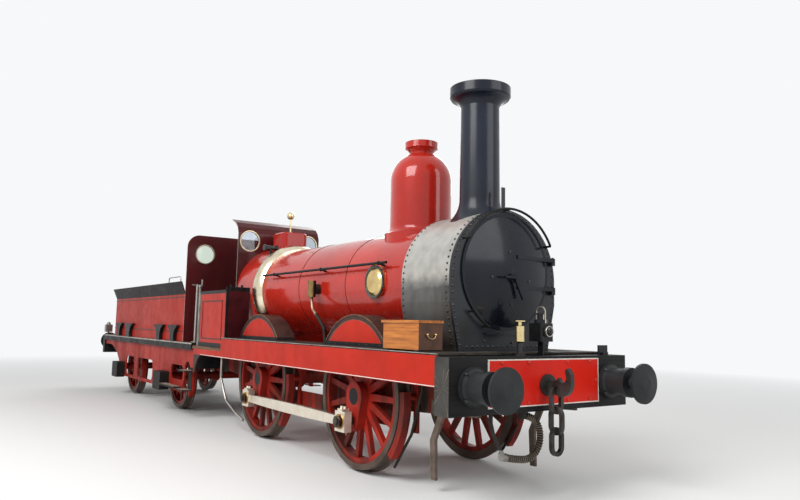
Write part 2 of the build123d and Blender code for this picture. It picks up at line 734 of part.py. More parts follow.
# Chimney: spreading skirt, tapered stack and flared cap, bored through
with BuildPart() as chimney:
    with BuildSketch(Plane(origin=(chimney_x, 0, 0), x_dir=(1, 0, 0), z_dir=(0, -1, 0))):
        with BuildLine():
            Polyline((chimney_bore, boiler_z + 520), (350, boiler_z + 520), (350, boiler_z + 572))
            ThreePointArc((350, boiler_z + 572), (240, boiler_z + 690), (chimney_r + 8, boiler_z + 830))
            Line((chimney_r + 8, boiler_z + 830), (chimney_r, chimney_top - 200))
            ThreePointArc((chimney_r, chimney_top - 200), (chimney_r + 32, chimney_top - 148),
                          (cap_r - 14, chimney_top - 112))
            Polyline((cap_r - 14, chimney_top - 112), (cap_r, chimney_top - 92), (cap_r, chimney_top),
                     (chimney_bore, chimney_top), (chimney_bore, boiler_z + 520))
        make_face()
    revolve(axis=Axis((chimney_x, 0, 0), (0, 0, 1)))
    saddle_cut(smokebox_r)
chimney.part.label = "chimney"
export_step(chimney.part, "parts/chimney.step")

# Dome with a round shoulder and a flared open lip
dome_flare = 60.0
neck_angle = degrees(acos(dome_neck_r / dome_r))
neck_foot_z = dome_shoulder + dome_r * sin(radians(neck_angle))
lip_thick = 26.0
with BuildPart() as dome:
    with BuildSketch(Plane(origin=(dome_x, 0, 0), x_dir=(1, 0, 0), z_dir=(0, -1, 0))):
        with BuildLine():
            Polyline((0, boiler_z + 400), (dome_r + dome_flare, boiler_z + 400),
                     (dome_r + dome_flare, boiler_z + 560))
            ThreePointArc((dome_r + dome_flare, boiler_z + 560), (dome_r + 16, boiler_z + 590),
                          (dome_r, boiler_z + 650))
            Line((dome_r, boiler_z + 650), (dome_r, dome_shoulder))
            CenterArc((0, dome_shoulder), dome_r, 0, neck_angle)
            Polyline((dome_neck_r, neck_foot_z), (dome_neck_r + 5, neck_foot_z + 18),
                     (dome_neck_r + 28, neck_foot_z + 47), (dome_rim_r, neck_foot_z + 65),
                     (dome_rim_r, dome_top),
                     (dome_rim_r - lip_thick, dome_top), (dome_neck_r - lip_thick, dome_neck_z + 20),
                     (dome_neck_r - lip_thick, dome_neck_z - 20), (0, dome_neck_z - 20), (0, boiler_z + 400))
        make_face()
    revolve(axis=Axis((dome_x, 0, 0), (0, 0, 1)))
    saddle_cut(boiler_r)
dome.part.label = "dome"
export_step(dome.part, "parts/dome.step")

# Boiler barrel with its cleading bands
band_rise = 4.0
band_wide = 44.0
band_places = [smokebox_rear_x - 40.0, smokebox_rear_x - 1233.0, smokebox_rear_x - 2387.0]
with BuildPart() as boiler:
    with BuildSketch(Plane.YZ.offset(firebox_front_x)):
        with Locations((0, boiler_z)):
            Circle(boiler_r)
    extrude(amount=smokebox_rear_x - firebox_front_x)
    for x in band_places:
        with BuildSketch(Plane.YZ.offset(x - band_wide / 2)):
            with Locations((0, boiler_z)):
                Circle(boiler_r + band_rise)
                Circle(boiler_r - 2, mode=Mode.SUBTRACT)
        extrude(amount=band_wide)
boiler.part.label = "boiler"
export_step(boiler.part, "parts/boiler.step")

# Brass band at the step from the barrel to the firebox, open below
band_start = -30.0
band_span = 240.0
band_up = (0, -sin(radians(band_start)), cos(radians(band_start)))
with BuildPart() as firebox_band:
    with BuildSketch(Plane(origin=(0, 0, boiler_z), x_dir=(1, 0, 0), z_dir=band_up)):
        with BuildLine():
            Polyline((band_front_x, boiler_r), (band_front_x, boiler_r + 22))
            ThreePointArc((band_front_x, boiler_r + 22), (band_front_x - 70, firebox_r - 8),
                          (firebox_front_x, firebox_r + 8))
            Polyline((firebox_front_x, firebox_r + 8), (firebox_front_x, boiler_r), (band_front_x, boiler_r))
        make_face()
    revolve(axis=Axis((0, 0, boiler_z), (1, 0, 0)), revolution_arc=band_span)
firebox_band.part.label = "firebox_band"
export_step(firebox_band.part, "parts/firebox_band.step")

# Firebox, round-topped, narrowing to stand between the frames
with BuildPart() as firebox:
    with BuildSketch(Plane.YZ.offset(firebox_rear_x)):
        add(arch_outline(firebox_r, firebox_knee, firebox_foot, firebox_foot_drop, firebox_bottom))
    extrude(amount=firebox_front_x - firebox_rear_x)
firebox.part.label = "firebox"
export_step(firebox.part, "parts/firebox.step")

# Safety valve casing with its spindle and ball, and the whistle valve on the shoulder beside it
casing_sink = 60.0
casing_chamfer = 24.0
whistle_x = firebox_front_x - 60.0
whistle_z = rail + 2565.0
whistle_in = -300.0
whistle_out = -510.0
with BuildPart() as safety_valve:
    with BuildSketch(Plane.XY.offset(boiler_z + firebox_r - casing_sink)):
        with Locations((valve_x, 0)):
            RectangleRounded(2 * valve_half, 2 * valve_half, 0.35 * valve_half)
    extrude(amount=valve_top - (boiler_z + firebox_r - casing_sink))
    chamfer(safety_valve.faces().sort_by(Axis.Z)[-1].edges(), casing_chamfer)
    for low, high, r in ((valve_top - 4, valve_top + 26, 30), (valve_top, valve_ball_z, 13)):
        with BuildSketch(Plane.XY.offset(low)):
            with Locations((valve_x, 0)):
                Circle(r)
        extrude(amount=high - low)
    with Locations((valve_x, 0, valve_ball_z)):
        Sphere(valve_ball_r)
    with BuildSketch(Plane.XY.offset(boiler_z + 480)):
        with Locations((whistle_x, (whistle_in + whistle_out) / 2)):
            Circle(22)
    extrude(amount=whistle_z - boiler_z - 480)
    for start, end, r in ((whistle_in, whistle_out, 32), (whistle_in, whistle_in - 22, 46),
                          (whistle_out + 22, whistle_out, 46)):
        with BuildSketch(Plane(origin=(whistle_x, start, whistle_z), x_dir=(1, 0, 0), z_dir=(0, -1, 0))):
            Circle(r)
        extrude(amount=start - end)
    saddle_cut(firebox_r)
safety_valve.part.label = "safety_valve"
export_step(safety_valve.part, "parts/safety_valve.step")

# Weatherboard across the firebox end, its top bent back as a short canopy
backhead_r = 560.0
with BuildPart() as weatherboard:
    with BuildSketch(Plane(origin=(board_x, board_half_width, 0), x_dir=(1, 0, 0), z_dir=(0, -1, 0))):
        Polygon((0, cab_floor_top), (0, board_bend_z), (-40, board_bend_z + 90), (-110, board_bend_z + 160),
                (-canopy_back, board_bend_z + canopy_rise),
                (-canopy_back - 4, board_bend_z + canopy_rise - sheet),
                (-110 - sheet, board_bend_z + 160 - sheet), (-40 - sheet, board_bend_z + 90),
                (-sheet, board_bend_z), (-sheet, cab_floor_top), align=None)
    extrude(amount=2 * board_half_width)
    with BuildSketch(Plane.YZ.offset(board_x - 100)):
        for side in (-1, 1):
            with Locations((side * window_y, window_z)):
                Circle(window_r)
        with Locations((0, boiler_z)):
            Circle(backhead_r + seat_gap)
        with Locations((0, boiler_z / 2)):
            Rectangle(2 * (backhead_r + seat_gap), boiler_z)
    extrude(amount=200, mode=Mode.SUBTRACT)
weatherboard.part.label = "weatherboard"
export_step(weatherboard.part, "parts/weatherboard.step")

glass_thick = 6.0
with BuildPart() as weatherboard_glass:
    with BuildSketch(Plane.YZ.offset(board_x - sheet / 2 - glass_thick / 2)):
        for side in (-1, 1):
            with Locations((side * window_y, window_z)):
                Circle(window_r)
    extrude(amount=glass_thick)
weatherboard_glass.part.label = "weatherboard_glass"
export_step(weatherboard_glass.part, "parts/weatherboard_glass.step")

# Backhead in the cab with the firehole ring, regulator and gauge glasses
backhead_x = firebox_rear_x
fire_z = rail + 1560.0
fire_half_w = 190.0
fire_half_h = 140.0
fire_ring = 20.0
fire_pin_r = 7.0
fire_knuckle_r = 12.0
fire_knuckle_half = 40.0
fire_hinge_x = backhead_x - 60 - fire_ring - fire_knuckle_r - 1
fire_hinge_y = fire_half_w + fire_knuckle_r + 2
with BuildPart() as backhead:
    with BuildSketch(Plane.YZ.offset(backhead_x - 60)):
        with Locations((0, boiler_z)):
            Circle(backhead_r)
        with Locations((0, (boiler_z + cab_floor_top) / 2)):
            Rectangle(2 * backhead_r, boiler_z - cab_floor_top)
    extrude(amount=60)
    with BuildSketch(Plane.YZ.offset(backhead_x - 80)):
        with Locations((0, fire_z)):
            Rectangle(2 * fire_half_w + 60, 2 * fire_half_h + 60)
    extrude(amount=20)
    with BuildSketch(Plane.YZ.offset(backhead_x - 80)):
        with Locations((0, fire_z)):
            Rectangle(2 * fire_half_w - 40, 2 * fire_half_h - 40)
    extrude(amount=60, mode=Mode.SUBTRACT)
    with BuildSketch(Plane.YZ.offset(backhead_x - 150)):
        with Locations((0, boiler_z + 260)):
            Circle(28)
    extrude(amount=100)
    with BuildSketch(Plane.YZ.offset(backhead_x - 150)):
        with Locations(Location((0, boiler_z + 260, 0), (0, 0, 120))):
            SlotCenterPoint((130, 0), (260, 0), 30)
    extrude(amount=24)
    for side in (-1, 1):
        with BuildSketch(Plane.XY.offset(boiler_z + 20)):
            with Locations((backhead_x - 110, side * 240)):
                Circle(22)
        extrude(amount=300)
        for rise in (30, 270):
            with BuildSketch(Plane.YZ.offset(backhead_x - 110)):
                with Locations((side * 240, boiler_z + rise)):
                    Circle(18)
            extrude(amount=60)
    for low in (fire_z - fire_knuckle_half - 15, fire_z + fire_knuckle_half + 1):
        with BuildSketch(Plane.XY.offset(low)):
            with Locations((fire_hinge_x, fire_hinge_y)):
                Circle(fire_knuckle_r)
            with Locations(((fire_hinge_x + backhead_x - 70) / 2, fire_hinge_y)):
                Rectangle(backhead_x - 70 - fire_hinge_x, 2 * fire_knuckle_r)
        extrude(amount=14)
    with BuildSketch(Plane.XY.offset(fire_z - fire_knuckle_half - 10)):
        with Locations((fire_hinge_x, fire_hinge_y)):
            Circle(fire_pin_r)
    extrude(amount=2 * fire_knuckle_half + 20)
backhead.part.label = "backhead"
export_step(backhead.part, "parts/backhead.step")

# Fire door, hinged on its left edge
fire_door_thick = 16.0
fire_door_face = backhead_x - 60 - fire_ring - seat_gap
with BuildPart() as fire_door:
    with BuildSketch(Plane.YZ.offset(fire_door_face - fire_door_thick)):
        with Locations((0, fire_z)):
            Rectangle(2 * fire_half_w, 2 * fire_half_h)
    extrude(amount=fire_door_thick)
    with BuildSketch(Plane.YZ.offset(fire_door_face - fire_door_thick - 30)):
        with Locations((-fire_half_w + 50, fire_z)):
            Circle(16)
    extrude(amount=34)
    with BuildSketch(Plane.XY.offset(fire_z - fire_knuckle_half)):
        with Locations((fire_door_face - fire_door_thick / 2, (fire_hinge_y + fire_half_w - 10) / 2)):
            Rectangle(fire_door_thick, fire_hinge_y - fire_half_w + 10)
        with Locations((fire_hinge_x, fire_hinge_y)):
            Circle(fire_knuckle_r)
            Circle(fire_pin_r + run_gap, mode=Mode.SUBTRACT)
    extrude(amount=2 * fire_knuckle_half)
fire_door.part.label = "fire_door"
export_step(fire_door.part, "parts/fire_door.step")

# Cab floor and side sheets, with the sheet that closes each side at the front
with BuildPart() as cab_floor:
    with BuildSketch(Plane.XY.offset(cab_floor_top - cab_floor_thick)):
        with Locations(((board_rear_x + cab_rear_x) / 2, 0)):
            Rectangle(board_rear_x - cab_rear_x, 2 * board_half)
        with Locations(((firebox_front_x + firebox_rear_x) / 2, 0)):
            Rectangle(firebox_front_x - firebox_rear_x, 2 * firebox_foot + 2 * seat_gap, mode=Mode.SUBTRACT)
    extrude(amount=cab_floor_thick)
cab_floor.part.label = "cab_floor"
export_step(cab_floor.part, "parts/cab_floor.step")

front_sheet_top = side_top + 60
panel_ends = (side_rear_x + 105.0, side_rear_x + 915.0)
panel_heights = (rail + 1214.0, rail + 1777.0)
panel_bead = 16.0
panel_proud = 6.0
side_cap_high = 16.0
side_cap_wide = 34.0
side_foot_high = 62.0
post_r = 14.0
post_x = side_rear_x - 100.0
knob_r = 24.0
with BuildPart() as cab_sides:
    for side in (-1, 1):
        middle_x = (board_rear_x + side_rear_x) / 2
        side_long = board_rear_x - side_rear_x
        outer = Plane(origin=(0, side * side_out, 0), x_dir=(1, 0, 0), z_dir=(0, -1, 0))
        for low, high, inner_y, outer_y in ((cab_floor_top, side_top, side_out - sheet, side_out),
                                            (side_top, side_top + side_cap_high,
                                             side_out - side_cap_wide + 10, side_out + 10),
                                            (cab_floor_top, cab_floor_top + side_foot_high, side_out,
                                             side_out + panel_proud)):
            with BuildSketch(Plane.XY.offset(low)):
                with Locations((middle_x, side * (inner_y + outer_y) / 2)):
                    Rectangle(side_long, outer_y - inner_y)
            extrude(amount=high - low)
        with BuildSketch(outer):
            with Locations((sum(panel_ends) / 2, sum(panel_heights) / 2)):
                Rectangle(panel_ends[1] - panel_ends[0], panel_heights[1] - panel_heights[0])
                Rectangle(panel_ends[1] - panel_ends[0] - 2 * panel_bead,
                          panel_heights[1] - panel_heights[0] - 2 * panel_bead,
                          mode=Mode.SUBTRACT)
        extrude(amount=-side * panel_proud)
        with BuildSketch(Plane.XY.offset(cab_floor_top)):
            with Locations((board_rear_x - sheet / 2, side * (side_out + front_sheet_in) / 2)):
                Rectangle(sheet, side_out - front_sheet_in)
        extrude(amount=front_sheet_top - cab_floor_top)
        with BuildSketch(Plane.XY.offset(front_sheet_top - 30)):
            with Locations((board_rear_x - sheet / 2, side * 980), (board_rear_x - sheet / 2, side * 820)):
                Circle(16)
        extrude(amount=62)
        with BuildSketch(Plane.XY.offset(cab_floor_top)):
            with Locations((post_x, side * (side_out - 20)), (side_rear_x - 30, side * (side_out - 20))):
                Circle(post_r)
        extrude(amount=side_top - cab_floor_top)
        with BuildSketch(Plane.XY.offset(side_top)):
            with Locations((post_x, side * (side_out - 20))):
                Circle(post_r)
        extrude(amount=90)
        with Locations((post_x, side * (side_out - 20), side_top + 100)):
            Sphere(knob_r)
cab_sides.part.label = "cab_sides"
export_step(cab_sides.part, "parts/cab_sides.step")

# Cylinder block between the frames under the smokebox
block_front_x = beam_front - 540.0
block_rear_x = beam_front - 1330.0
with BuildPart() as cylinder_block:
    with BuildSketch(Plane.YZ.offset(block_rear_x)):
        with Locations((0, (board_under + frame_bottom + 40) / 2)):
            Rectangle(2 * frame_in, board_under - frame_bottom - 40)
    extrude(amount=block_front_x - block_rear_x)
    for side in (-1, 1):
        with BuildSketch(Plane.YZ.offset(block_front_x)):
            with Locations((side * 300, frame_bottom + 300)):
                Circle(230)
        extrude(amount=45)
cylinder_block.part.label = "cylinder_block"
export_step(cylinder_block.part, "parts/cylinder_block.step")

# Drag beam across the frames behind the cab, with the drawbar pin
drag_front_x = cab_rear_x + 180.0
drag_low = rail + 700.0
pin_x = tender_pin_x
draw_pin_r = 38.0
slot_low = rail + 800.0
slot_high = rail + 900.0
with BuildPart() as drag_beam:
    with BuildSketch(Plane.YZ.offset(cab_rear_x)):
        with Locations((0, (cab_floor_top - cab_floor_thick + drag_low) / 2)):
            Rectangle(2 * frame_in, cab_floor_top - cab_floor_thick - drag_low)
        with Locations((0, (slot_low + slot_high) / 2)):
            Rectangle(500, slot_high - slot_low, mode=Mode.SUBTRACT)
    extrude(amount=drag_front_x - cab_rear_x)
    with BuildSketch(Plane.XY.offset(slot_low - 10)):
        with Locations((pin_x, 0)):
            Circle(draw_pin_r)
    extrude(amount=slot_high - slot_low + 20)
drag_beam.part.label = "drag_beam"
export_step(drag_beam.part, "parts/drag_beam.step")

# Brake hangers with their blocks in front of each coupled wheel
shoe_clear = 6.0
shoe_thick = 70.0
shoe_inner = 726.0
shoe_wide = 84.0
shoe_start = -42.0
shoe_span = 50.0
hanger_x = tread_r + 68.0
hanger_low = -275.0
hanger_y = 640.0
with BuildPart() as brakes:
    for x in (front_axle_x, rear_axle_x):
        over = Plane(origin=(x, 0, wheel_z), x_dir=(1, 0, 0), z_dir=(0, -1, 0))
        near = tread_r + shoe_clear
        far = near + shoe_thick
        with BuildSketch(over.offset(shoe_inner)):
            with BuildLine():
                CenterArc((0, 0), near, shoe_start, shoe_span)
                CenterArc((0, 0), far, shoe_start, shoe_span)
                for angle in (radians(shoe_start), radians(shoe_start + shoe_span)):
                    Line((near * cos(angle), near * sin(angle)), (far * cos(angle), far * sin(angle)))
            make_face()
        extrude(amount=shoe_wide)
        hanger_top = board_under - wheel_z
        with BuildSketch(over.offset(hanger_y)):
            with Locations((hanger_x, (hanger_top + hanger_low) / 2)):
                Rectangle(60, hanger_top - hanger_low)
        extrude(amount=30)
        for start, end, rise in ((hanger_y, shoe_inner + 12, 60), (frame_out, hanger_y + 40, 275)):
            with BuildSketch(over.offset(start)):
                with Locations((hanger_x, rise)):
                    Circle(28)
            extrude(amount=end - start)
    mirror(about=Plane.XZ)
brakes.part.label = "brakes"
export_step(brakes.part, "parts/brakes.step")

# Boiler handrails with their pillars, the rail over the smokebox door and the short one below it
rail_y = 655.0
rail_z = rail + 2125.0
rail_r = 15.0
rail_front_x = smokebox_rear_x - 300.0
rail_rear_x = band_front_x + 90.0
pillar_places = [rail_front_x - 145.0, rail_front_x - 1400.0, rail_front_x - 2700.0]
rail_reach = sqrt(rail_y ** 2 + (rail_z - boiler_z) ** 2)
door_rails = [
    # radius about the door, reach in front of the plate, first angle, span, angles of the posts
    (606.0, 85.0, 28.0, 124.0, (28.0, 90.0, 152.0)),
    (592.0, 60.0, -141.0, 25.0, (-139.0, -118.0)),
]
with BuildPart() as handrails:
    for side in (-1, 1):
        with BuildSketch(Plane.YZ.offset(rail_rear_x)):
            with Locations((side * rail_y, rail_z)):
                Circle(rail_r)
        extrude(amount=rail_front_x - rail_rear_x)
        outward = (0, side * rail_y / rail_reach, (rail_z - boiler_z) / rail_reach)
        for x in pillar_places:
            with BuildSketch(Plane(origin=(x, 0, boiler_z), x_dir=(1, 0, 0), z_dir=outward).offset(boiler_r)):
                Circle(12)
            extrude(amount=rail_reach - boiler_r)
            with Locations((x, side * rail_y, rail_z)):
                Sphere(rail_r + 9)
    for ring, reach, first, span, posts in door_rails:
        for angle in posts:
            with BuildSketch(Plane.YZ.offset(smokebox_front_x)):
                with Locations((ring * cos(radians(angle)), door_z + ring * sin(radians(angle)))):
                    Circle(11)
            extrude(amount=reach)
        start = (smokebox_front_x + reach, ring * cos(radians(first)), door_z + ring * sin(radians(first)))
        with BuildSketch(Plane(origin=start, x_dir=(1, 0, 0),
                               z_dir=(0, -sin(radians(first)), cos(radians(first))))):
            Circle(rail_r - 3)
        revolve(axis=Axis((0, 0, door_z), (1, 0, 0)), revolution_arc=span)
handrails.part.label = "handrails"
export_step(handrails.part, "parts/handrails.step")


# Clack valve with its kinked feed pipe on each side of the barrel, and the pipes below the boards and the cab
clack_x = beam_front - 3140.0
clack_z = boiler_z - 40.0
clack_y = boiler_r + 95.0
clack_low = clack_z - 100.0
low_pipes = [
    # across, radius, bend, then the route: back from the beam face and above the floor
    (clack_y, 20.0, 60.0, [(3140.0, clack_low + 10), (3140.0, clack_low - 20), (3100.0, rail + 1650),
                           (2950.0, rail + 1540),
                           (2800.0, rail + 1420), (2770.0, board_top + 3.8)]),
    (698.0, 14.0, 80.0, [(891.0, board_under), (891.0, rail + 880), (1050.0, rail + 450),
                         (1321.0, rail + 99)]),
    (850.0, 18.0, 80.0, [(5575.0, cab_floor_under), (5575.0, rail + 646), (5342.0, rail + 350),
                         (4950.0, rail + 205),
                         (4698.0, rail + 147)]),
]
with BuildPart() as feed_pipes:
    for side in (-1, 1):
        with BuildSketch(Plane(origin=(clack_x, 0, clack_z), x_dir=(1, 0, 0),
                               z_dir=(0, side, 0)).offset(boiler_r - 4)):
            Circle(62)
        extrude(amount=60)
        with BuildSketch(Plane.XY.offset(clack_low)):
            with Locations((clack_x, side * clack_y)):
                Circle(52)
        extrude(amount=2 * (clack_z - clack_low))
    saddle_cut(boiler_r)
    for side in (-1, 1):
        for pipe_y, pipe_r, bend, points in low_pipes:
            along = Plane(origin=(beam_front, side * pipe_y, 0), x_dir=(1, 0, 0), z_dir=(0, -1, 0))
            with BuildLine(along) as route:
                FilletPolyline(*[(-x, z) for x, z in points], radius=bend)
            with BuildSketch(Plane(origin=route.wire() @ 0, z_dir=route.wire() % 0)):
                Circle(pipe_r)
            sweep(path=route.wire())
feed_pipes.part.label = "feed_pipes"
export_step(feed_pipes.part, "parts/feed_pipes.step")

# Round domed plate on each side of the barrel, left blank
disc_x = beam_front - 1870.0
disc_r = 178.0
with BuildPart() as side_discs:
    for side in (-1, 1):
        with BuildSketch(Plane(origin=(disc_x, 0, boiler_z), x_dir=(1, 0, 0),
                               z_dir=(0, side, 0)).offset(boiler_r - 30)):
            Circle(disc_r)
        extrude(amount=50)
        with BuildSketch(Plane(origin=(disc_x, 0, boiler_z), x_dir=(1, 0, 0),
                               z_dir=(0, side, 0)).offset(boiler_r + 20)):
            Circle(disc_r - 22)
        extrude(amount=22, taper=60)
    saddle_cut(boiler_r)
side_discs.part.label = "side_discs"
export_step(side_discs.part, "parts/side_discs.step")

# Wooden tool chest on the right-hand board, with its hinged lid
chest_front_x = beam_front - 490.0
chest_rear_x = beam_front - 1035.0
chest_out = 1055.0
chest_in = 790.0
chest_top = rail + 1498.0
chest_wall = 22.0
chest_foot = 14.0
lid_thick = 24.0
lid_over = 16.0
lid_pin_r = 4.0
lid_knuckle_r = 9.0
lid_hinge_y = -chest_in + lid_knuckle_r + 1
lid_hinges = [(chest_front_x + chest_rear_x) / 2 + shift for shift in (-180.0, 180.0)]
knuckle_plane = Plane(origin=(0, 0, 0), x_dir=(0, 1, 0), z_dir=(1, 0, 0))
with BuildPart() as tool_chest:
    with BuildSketch(Plane.XY.offset(board_top + chest_foot)):
        with Locations(((chest_front_x + chest_rear_x) / 2, -(chest_out + chest_in) / 2)):
            Rectangle(chest_front_x - chest_rear_x, chest_out - chest_in)
    extrude(amount=chest_top - board_top - chest_foot)
    with BuildSketch(Plane.XY.offset(board_top + chest_foot + chest_wall)):
        with Locations(((chest_front_x + chest_rear_x) / 2, -(chest_out + chest_in) / 2)):
            Rectangle(chest_front_x - chest_rear_x - 2 * chest_wall, chest_out - chest_in - 2 * chest_wall)
    extrude(amount=chest_top, mode=Mode.SUBTRACT)
    with BuildSketch(Plane.XY.offset(board_top)):
        for x in (chest_front_x - 40, chest_rear_x + 40):
            with Locations((x, -(chest_out + chest_in) / 2)):
                Rectangle(40, chest_out - chest_in)
    extrude(amount=chest_foot)
    for x in lid_hinges:
        for low in (x - 30, x + 16):
            with BuildSketch(knuckle_plane.offset(low)):
                with Locations((lid_hinge_y, chest_top)):
                    Circle(lid_knuckle_r)
                with Locations(((lid_hinge_y - chest_in) / 2, chest_top - 15)):
                    Rectangle(lid_hinge_y + chest_in, 30)
            extrude(amount=14)
        with BuildSketch(knuckle_plane.offset(x - 20)):
            with Locations((lid_hinge_y, chest_top)):
                Circle(lid_pin_r)
        extrude(amount=40)
tool_chest.part.label = "tool_chest"
export_step(tool_chest.part, "parts/tool_chest.step")

with BuildPart() as chest_lid:
    with BuildSketch(Plane.XY.offset(chest_top + seat_gap)):
        with Locations(((chest_front_x + chest_rear_x) / 2, -(chest_out + lid_over + chest_in) / 2)):
            Rectangle(chest_front_x - chest_rear_x + 2 * lid_over, chest_out + lid_over - chest_in)
    extrude(amount=lid_thick)
    for x in lid_hinges:
        with BuildSketch(knuckle_plane.offset(x - 15)):
            with Locations(((lid_hinge_y - chest_in) / 2, chest_top + seat_gap + lid_knuckle_r / 2)):
                Rectangle(lid_hinge_y + chest_in, lid_knuckle_r)
            with Locations((lid_hinge_y, chest_top)):
                Circle(lid_knuckle_r)
                Circle(lid_pin_r + run_gap, mode=Mode.SUBTRACT)
        extrude(amount=30)
chest_lid.part.label = "chest_lid"
export_step(chest_lid.part, "parts/chest_lid.step")

# Lamp on its iron on the platform, the spare iron at the left, and the lubricator
lamp_x = beam_front - 150.0
lamp_y = 97.0
lamp_base = beam_top + 126.0
lamp_side = 160.0
lamp_high = 166.0
lens_r = 46.0
handle_half = 58.0
handle_thick = 9.0
with BuildPart() as lamp:
    with BuildSketch(Plane.XY.offset(lamp_base)):
        with Locations((lamp_x, lamp_y)):
            RectangleRounded(lamp_side, lamp_side, 14)
    extrude(amount=lamp_high)
    for rise, r, high in ((0, 60, 34), (34, 34, 46), (80, 44, 14)):
        with BuildSketch(Plane.XY.offset(lamp_base + lamp_high + rise)):
            with Locations((lamp_x, lamp_y)):
                Circle(r)
        extrude(amount=high)
    with BuildSketch(Plane.YZ.offset(lamp_x + lamp_side / 2)):
        with Locations((lamp_y, lamp_base + 92)):
            Circle(lens_r)
    extrude(amount=24)
    with BuildSketch(Plane.XY.offset(beam_top)):
        with Locations((lamp_x, lamp_y)):
            Rectangle(60, 16)
    extrude(amount=lamp_base - beam_top)
    with BuildSketch(Plane(origin=(lamp_x, lamp_y + handle_thick / 2, lamp_base + lamp_high), x_dir=(1, 0, 0),
                           z_dir=(0, -1, 0))):
        with BuildLine():
            Polyline((-handle_half, 0), (-handle_half, 110))
            ThreePointArc((-handle_half, 110), (0, 158), (handle_half, 110))
            Polyline((handle_half, 110), (handle_half, 0), (handle_half - handle_thick, 0),
                     (handle_half - handle_thick, 108))
            ThreePointArc((handle_half - handle_thick, 108), (0, 149), (handle_thick - handle_half, 108))
            Polyline((handle_thick - handle_half, 108), (handle_thick - handle_half, 0), (-handle_half, 0))
        make_face()
    extrude(amount=handle_thick)
    with BuildSketch(Plane.XY.offset(beam_top)):
        with Locations((beam_front - 90, 892)):
            Rectangle(14, 134)
            Rectangle(60, 60)
    extrude(amount=24)
    with BuildSketch(Plane.XY.offset(beam_top + 24)):
        with Locations((beam_front - 90, 892)):
            Rectangle(14, 134)
    extrude(amount=70)
lamp.part.label = "lamp"
export_step(lamp.part, "parts/lamp.step")

lub_x = beam_front - 130.0
lub_y = -195.0
lub_outline = [(0, 0), (50, 0), (50, 12), (22, 22), (22, 112), (42, 126), (42, 262), (18, 272), (18, 296),
               (50, 302),
               (50, 312), (0, 312)]
with BuildPart() as lubricator:
    with BuildSketch(Plane(origin=(lub_x, lub_y, beam_top), x_dir=(1, 0, 0), z_dir=(0, -1, 0))):
        Polygon(*lub_outline, align=None)
    revolve(axis=Axis((lub_x, lub_y, 0), (0, 0, 1)))
lubricator.part.label = "lubricator"
export_step(lubricator.part, "parts/lubricator.step")

# Tender wheelsets
make_tyres(tender_front_axle_x, tender_tread_r, "tender_front_tyres")
make_tyres(tender_rear_axle_x, tender_tread_r, "tender_rear_tyres")
journal_end = 1150.0
for x, label in ((tender_front_axle_x, "tender_front_wheels"), (tender_rear_axle_x, "tender_rear_wheels")):
    with BuildPart() as centres:
        with BuildSketch(Plane(origin=(x, journal_end, tender_axle_z), x_dir=(1, 0, 0), z_dir=(0, -1, 0))):
            Circle(tender_axle_r)
        extrude(amount=2 * journal_end)
        for away in (1, -1):
            out = Plane(origin=(x, 0, tender_axle_z), x_dir=(1, 0, 0), z_dir=(0, -1, 0))
            with BuildSketch(out.offset(away * (tyre_back + rim_inset))):
                Circle(tender_tread_r - tyre_thick)
                Circle(tender_tread_r - tyre_thick - 46, mode=Mode.SUBTRACT)
                Circle(115)
            extrude(amount=away * rim_width)
            with BuildSketch(out.offset(away * (tyre_back + rim_inset + rim_width / 2 - 20))):
                for turn in range(10):
                    with Locations(Location((0, 0, 0), (0, 0, 18 + turn * 36))):
                        Polygon((100, -34), (tender_tread_r - tyre_thick - 40, -24),
                                (tender_tread_r - tyre_thick - 40, 24), (100, 34), align=None)
            extrude(amount=away * 40)
    centres.part.label = label
    export_step(centres.part, "parts/" + label + ".step")

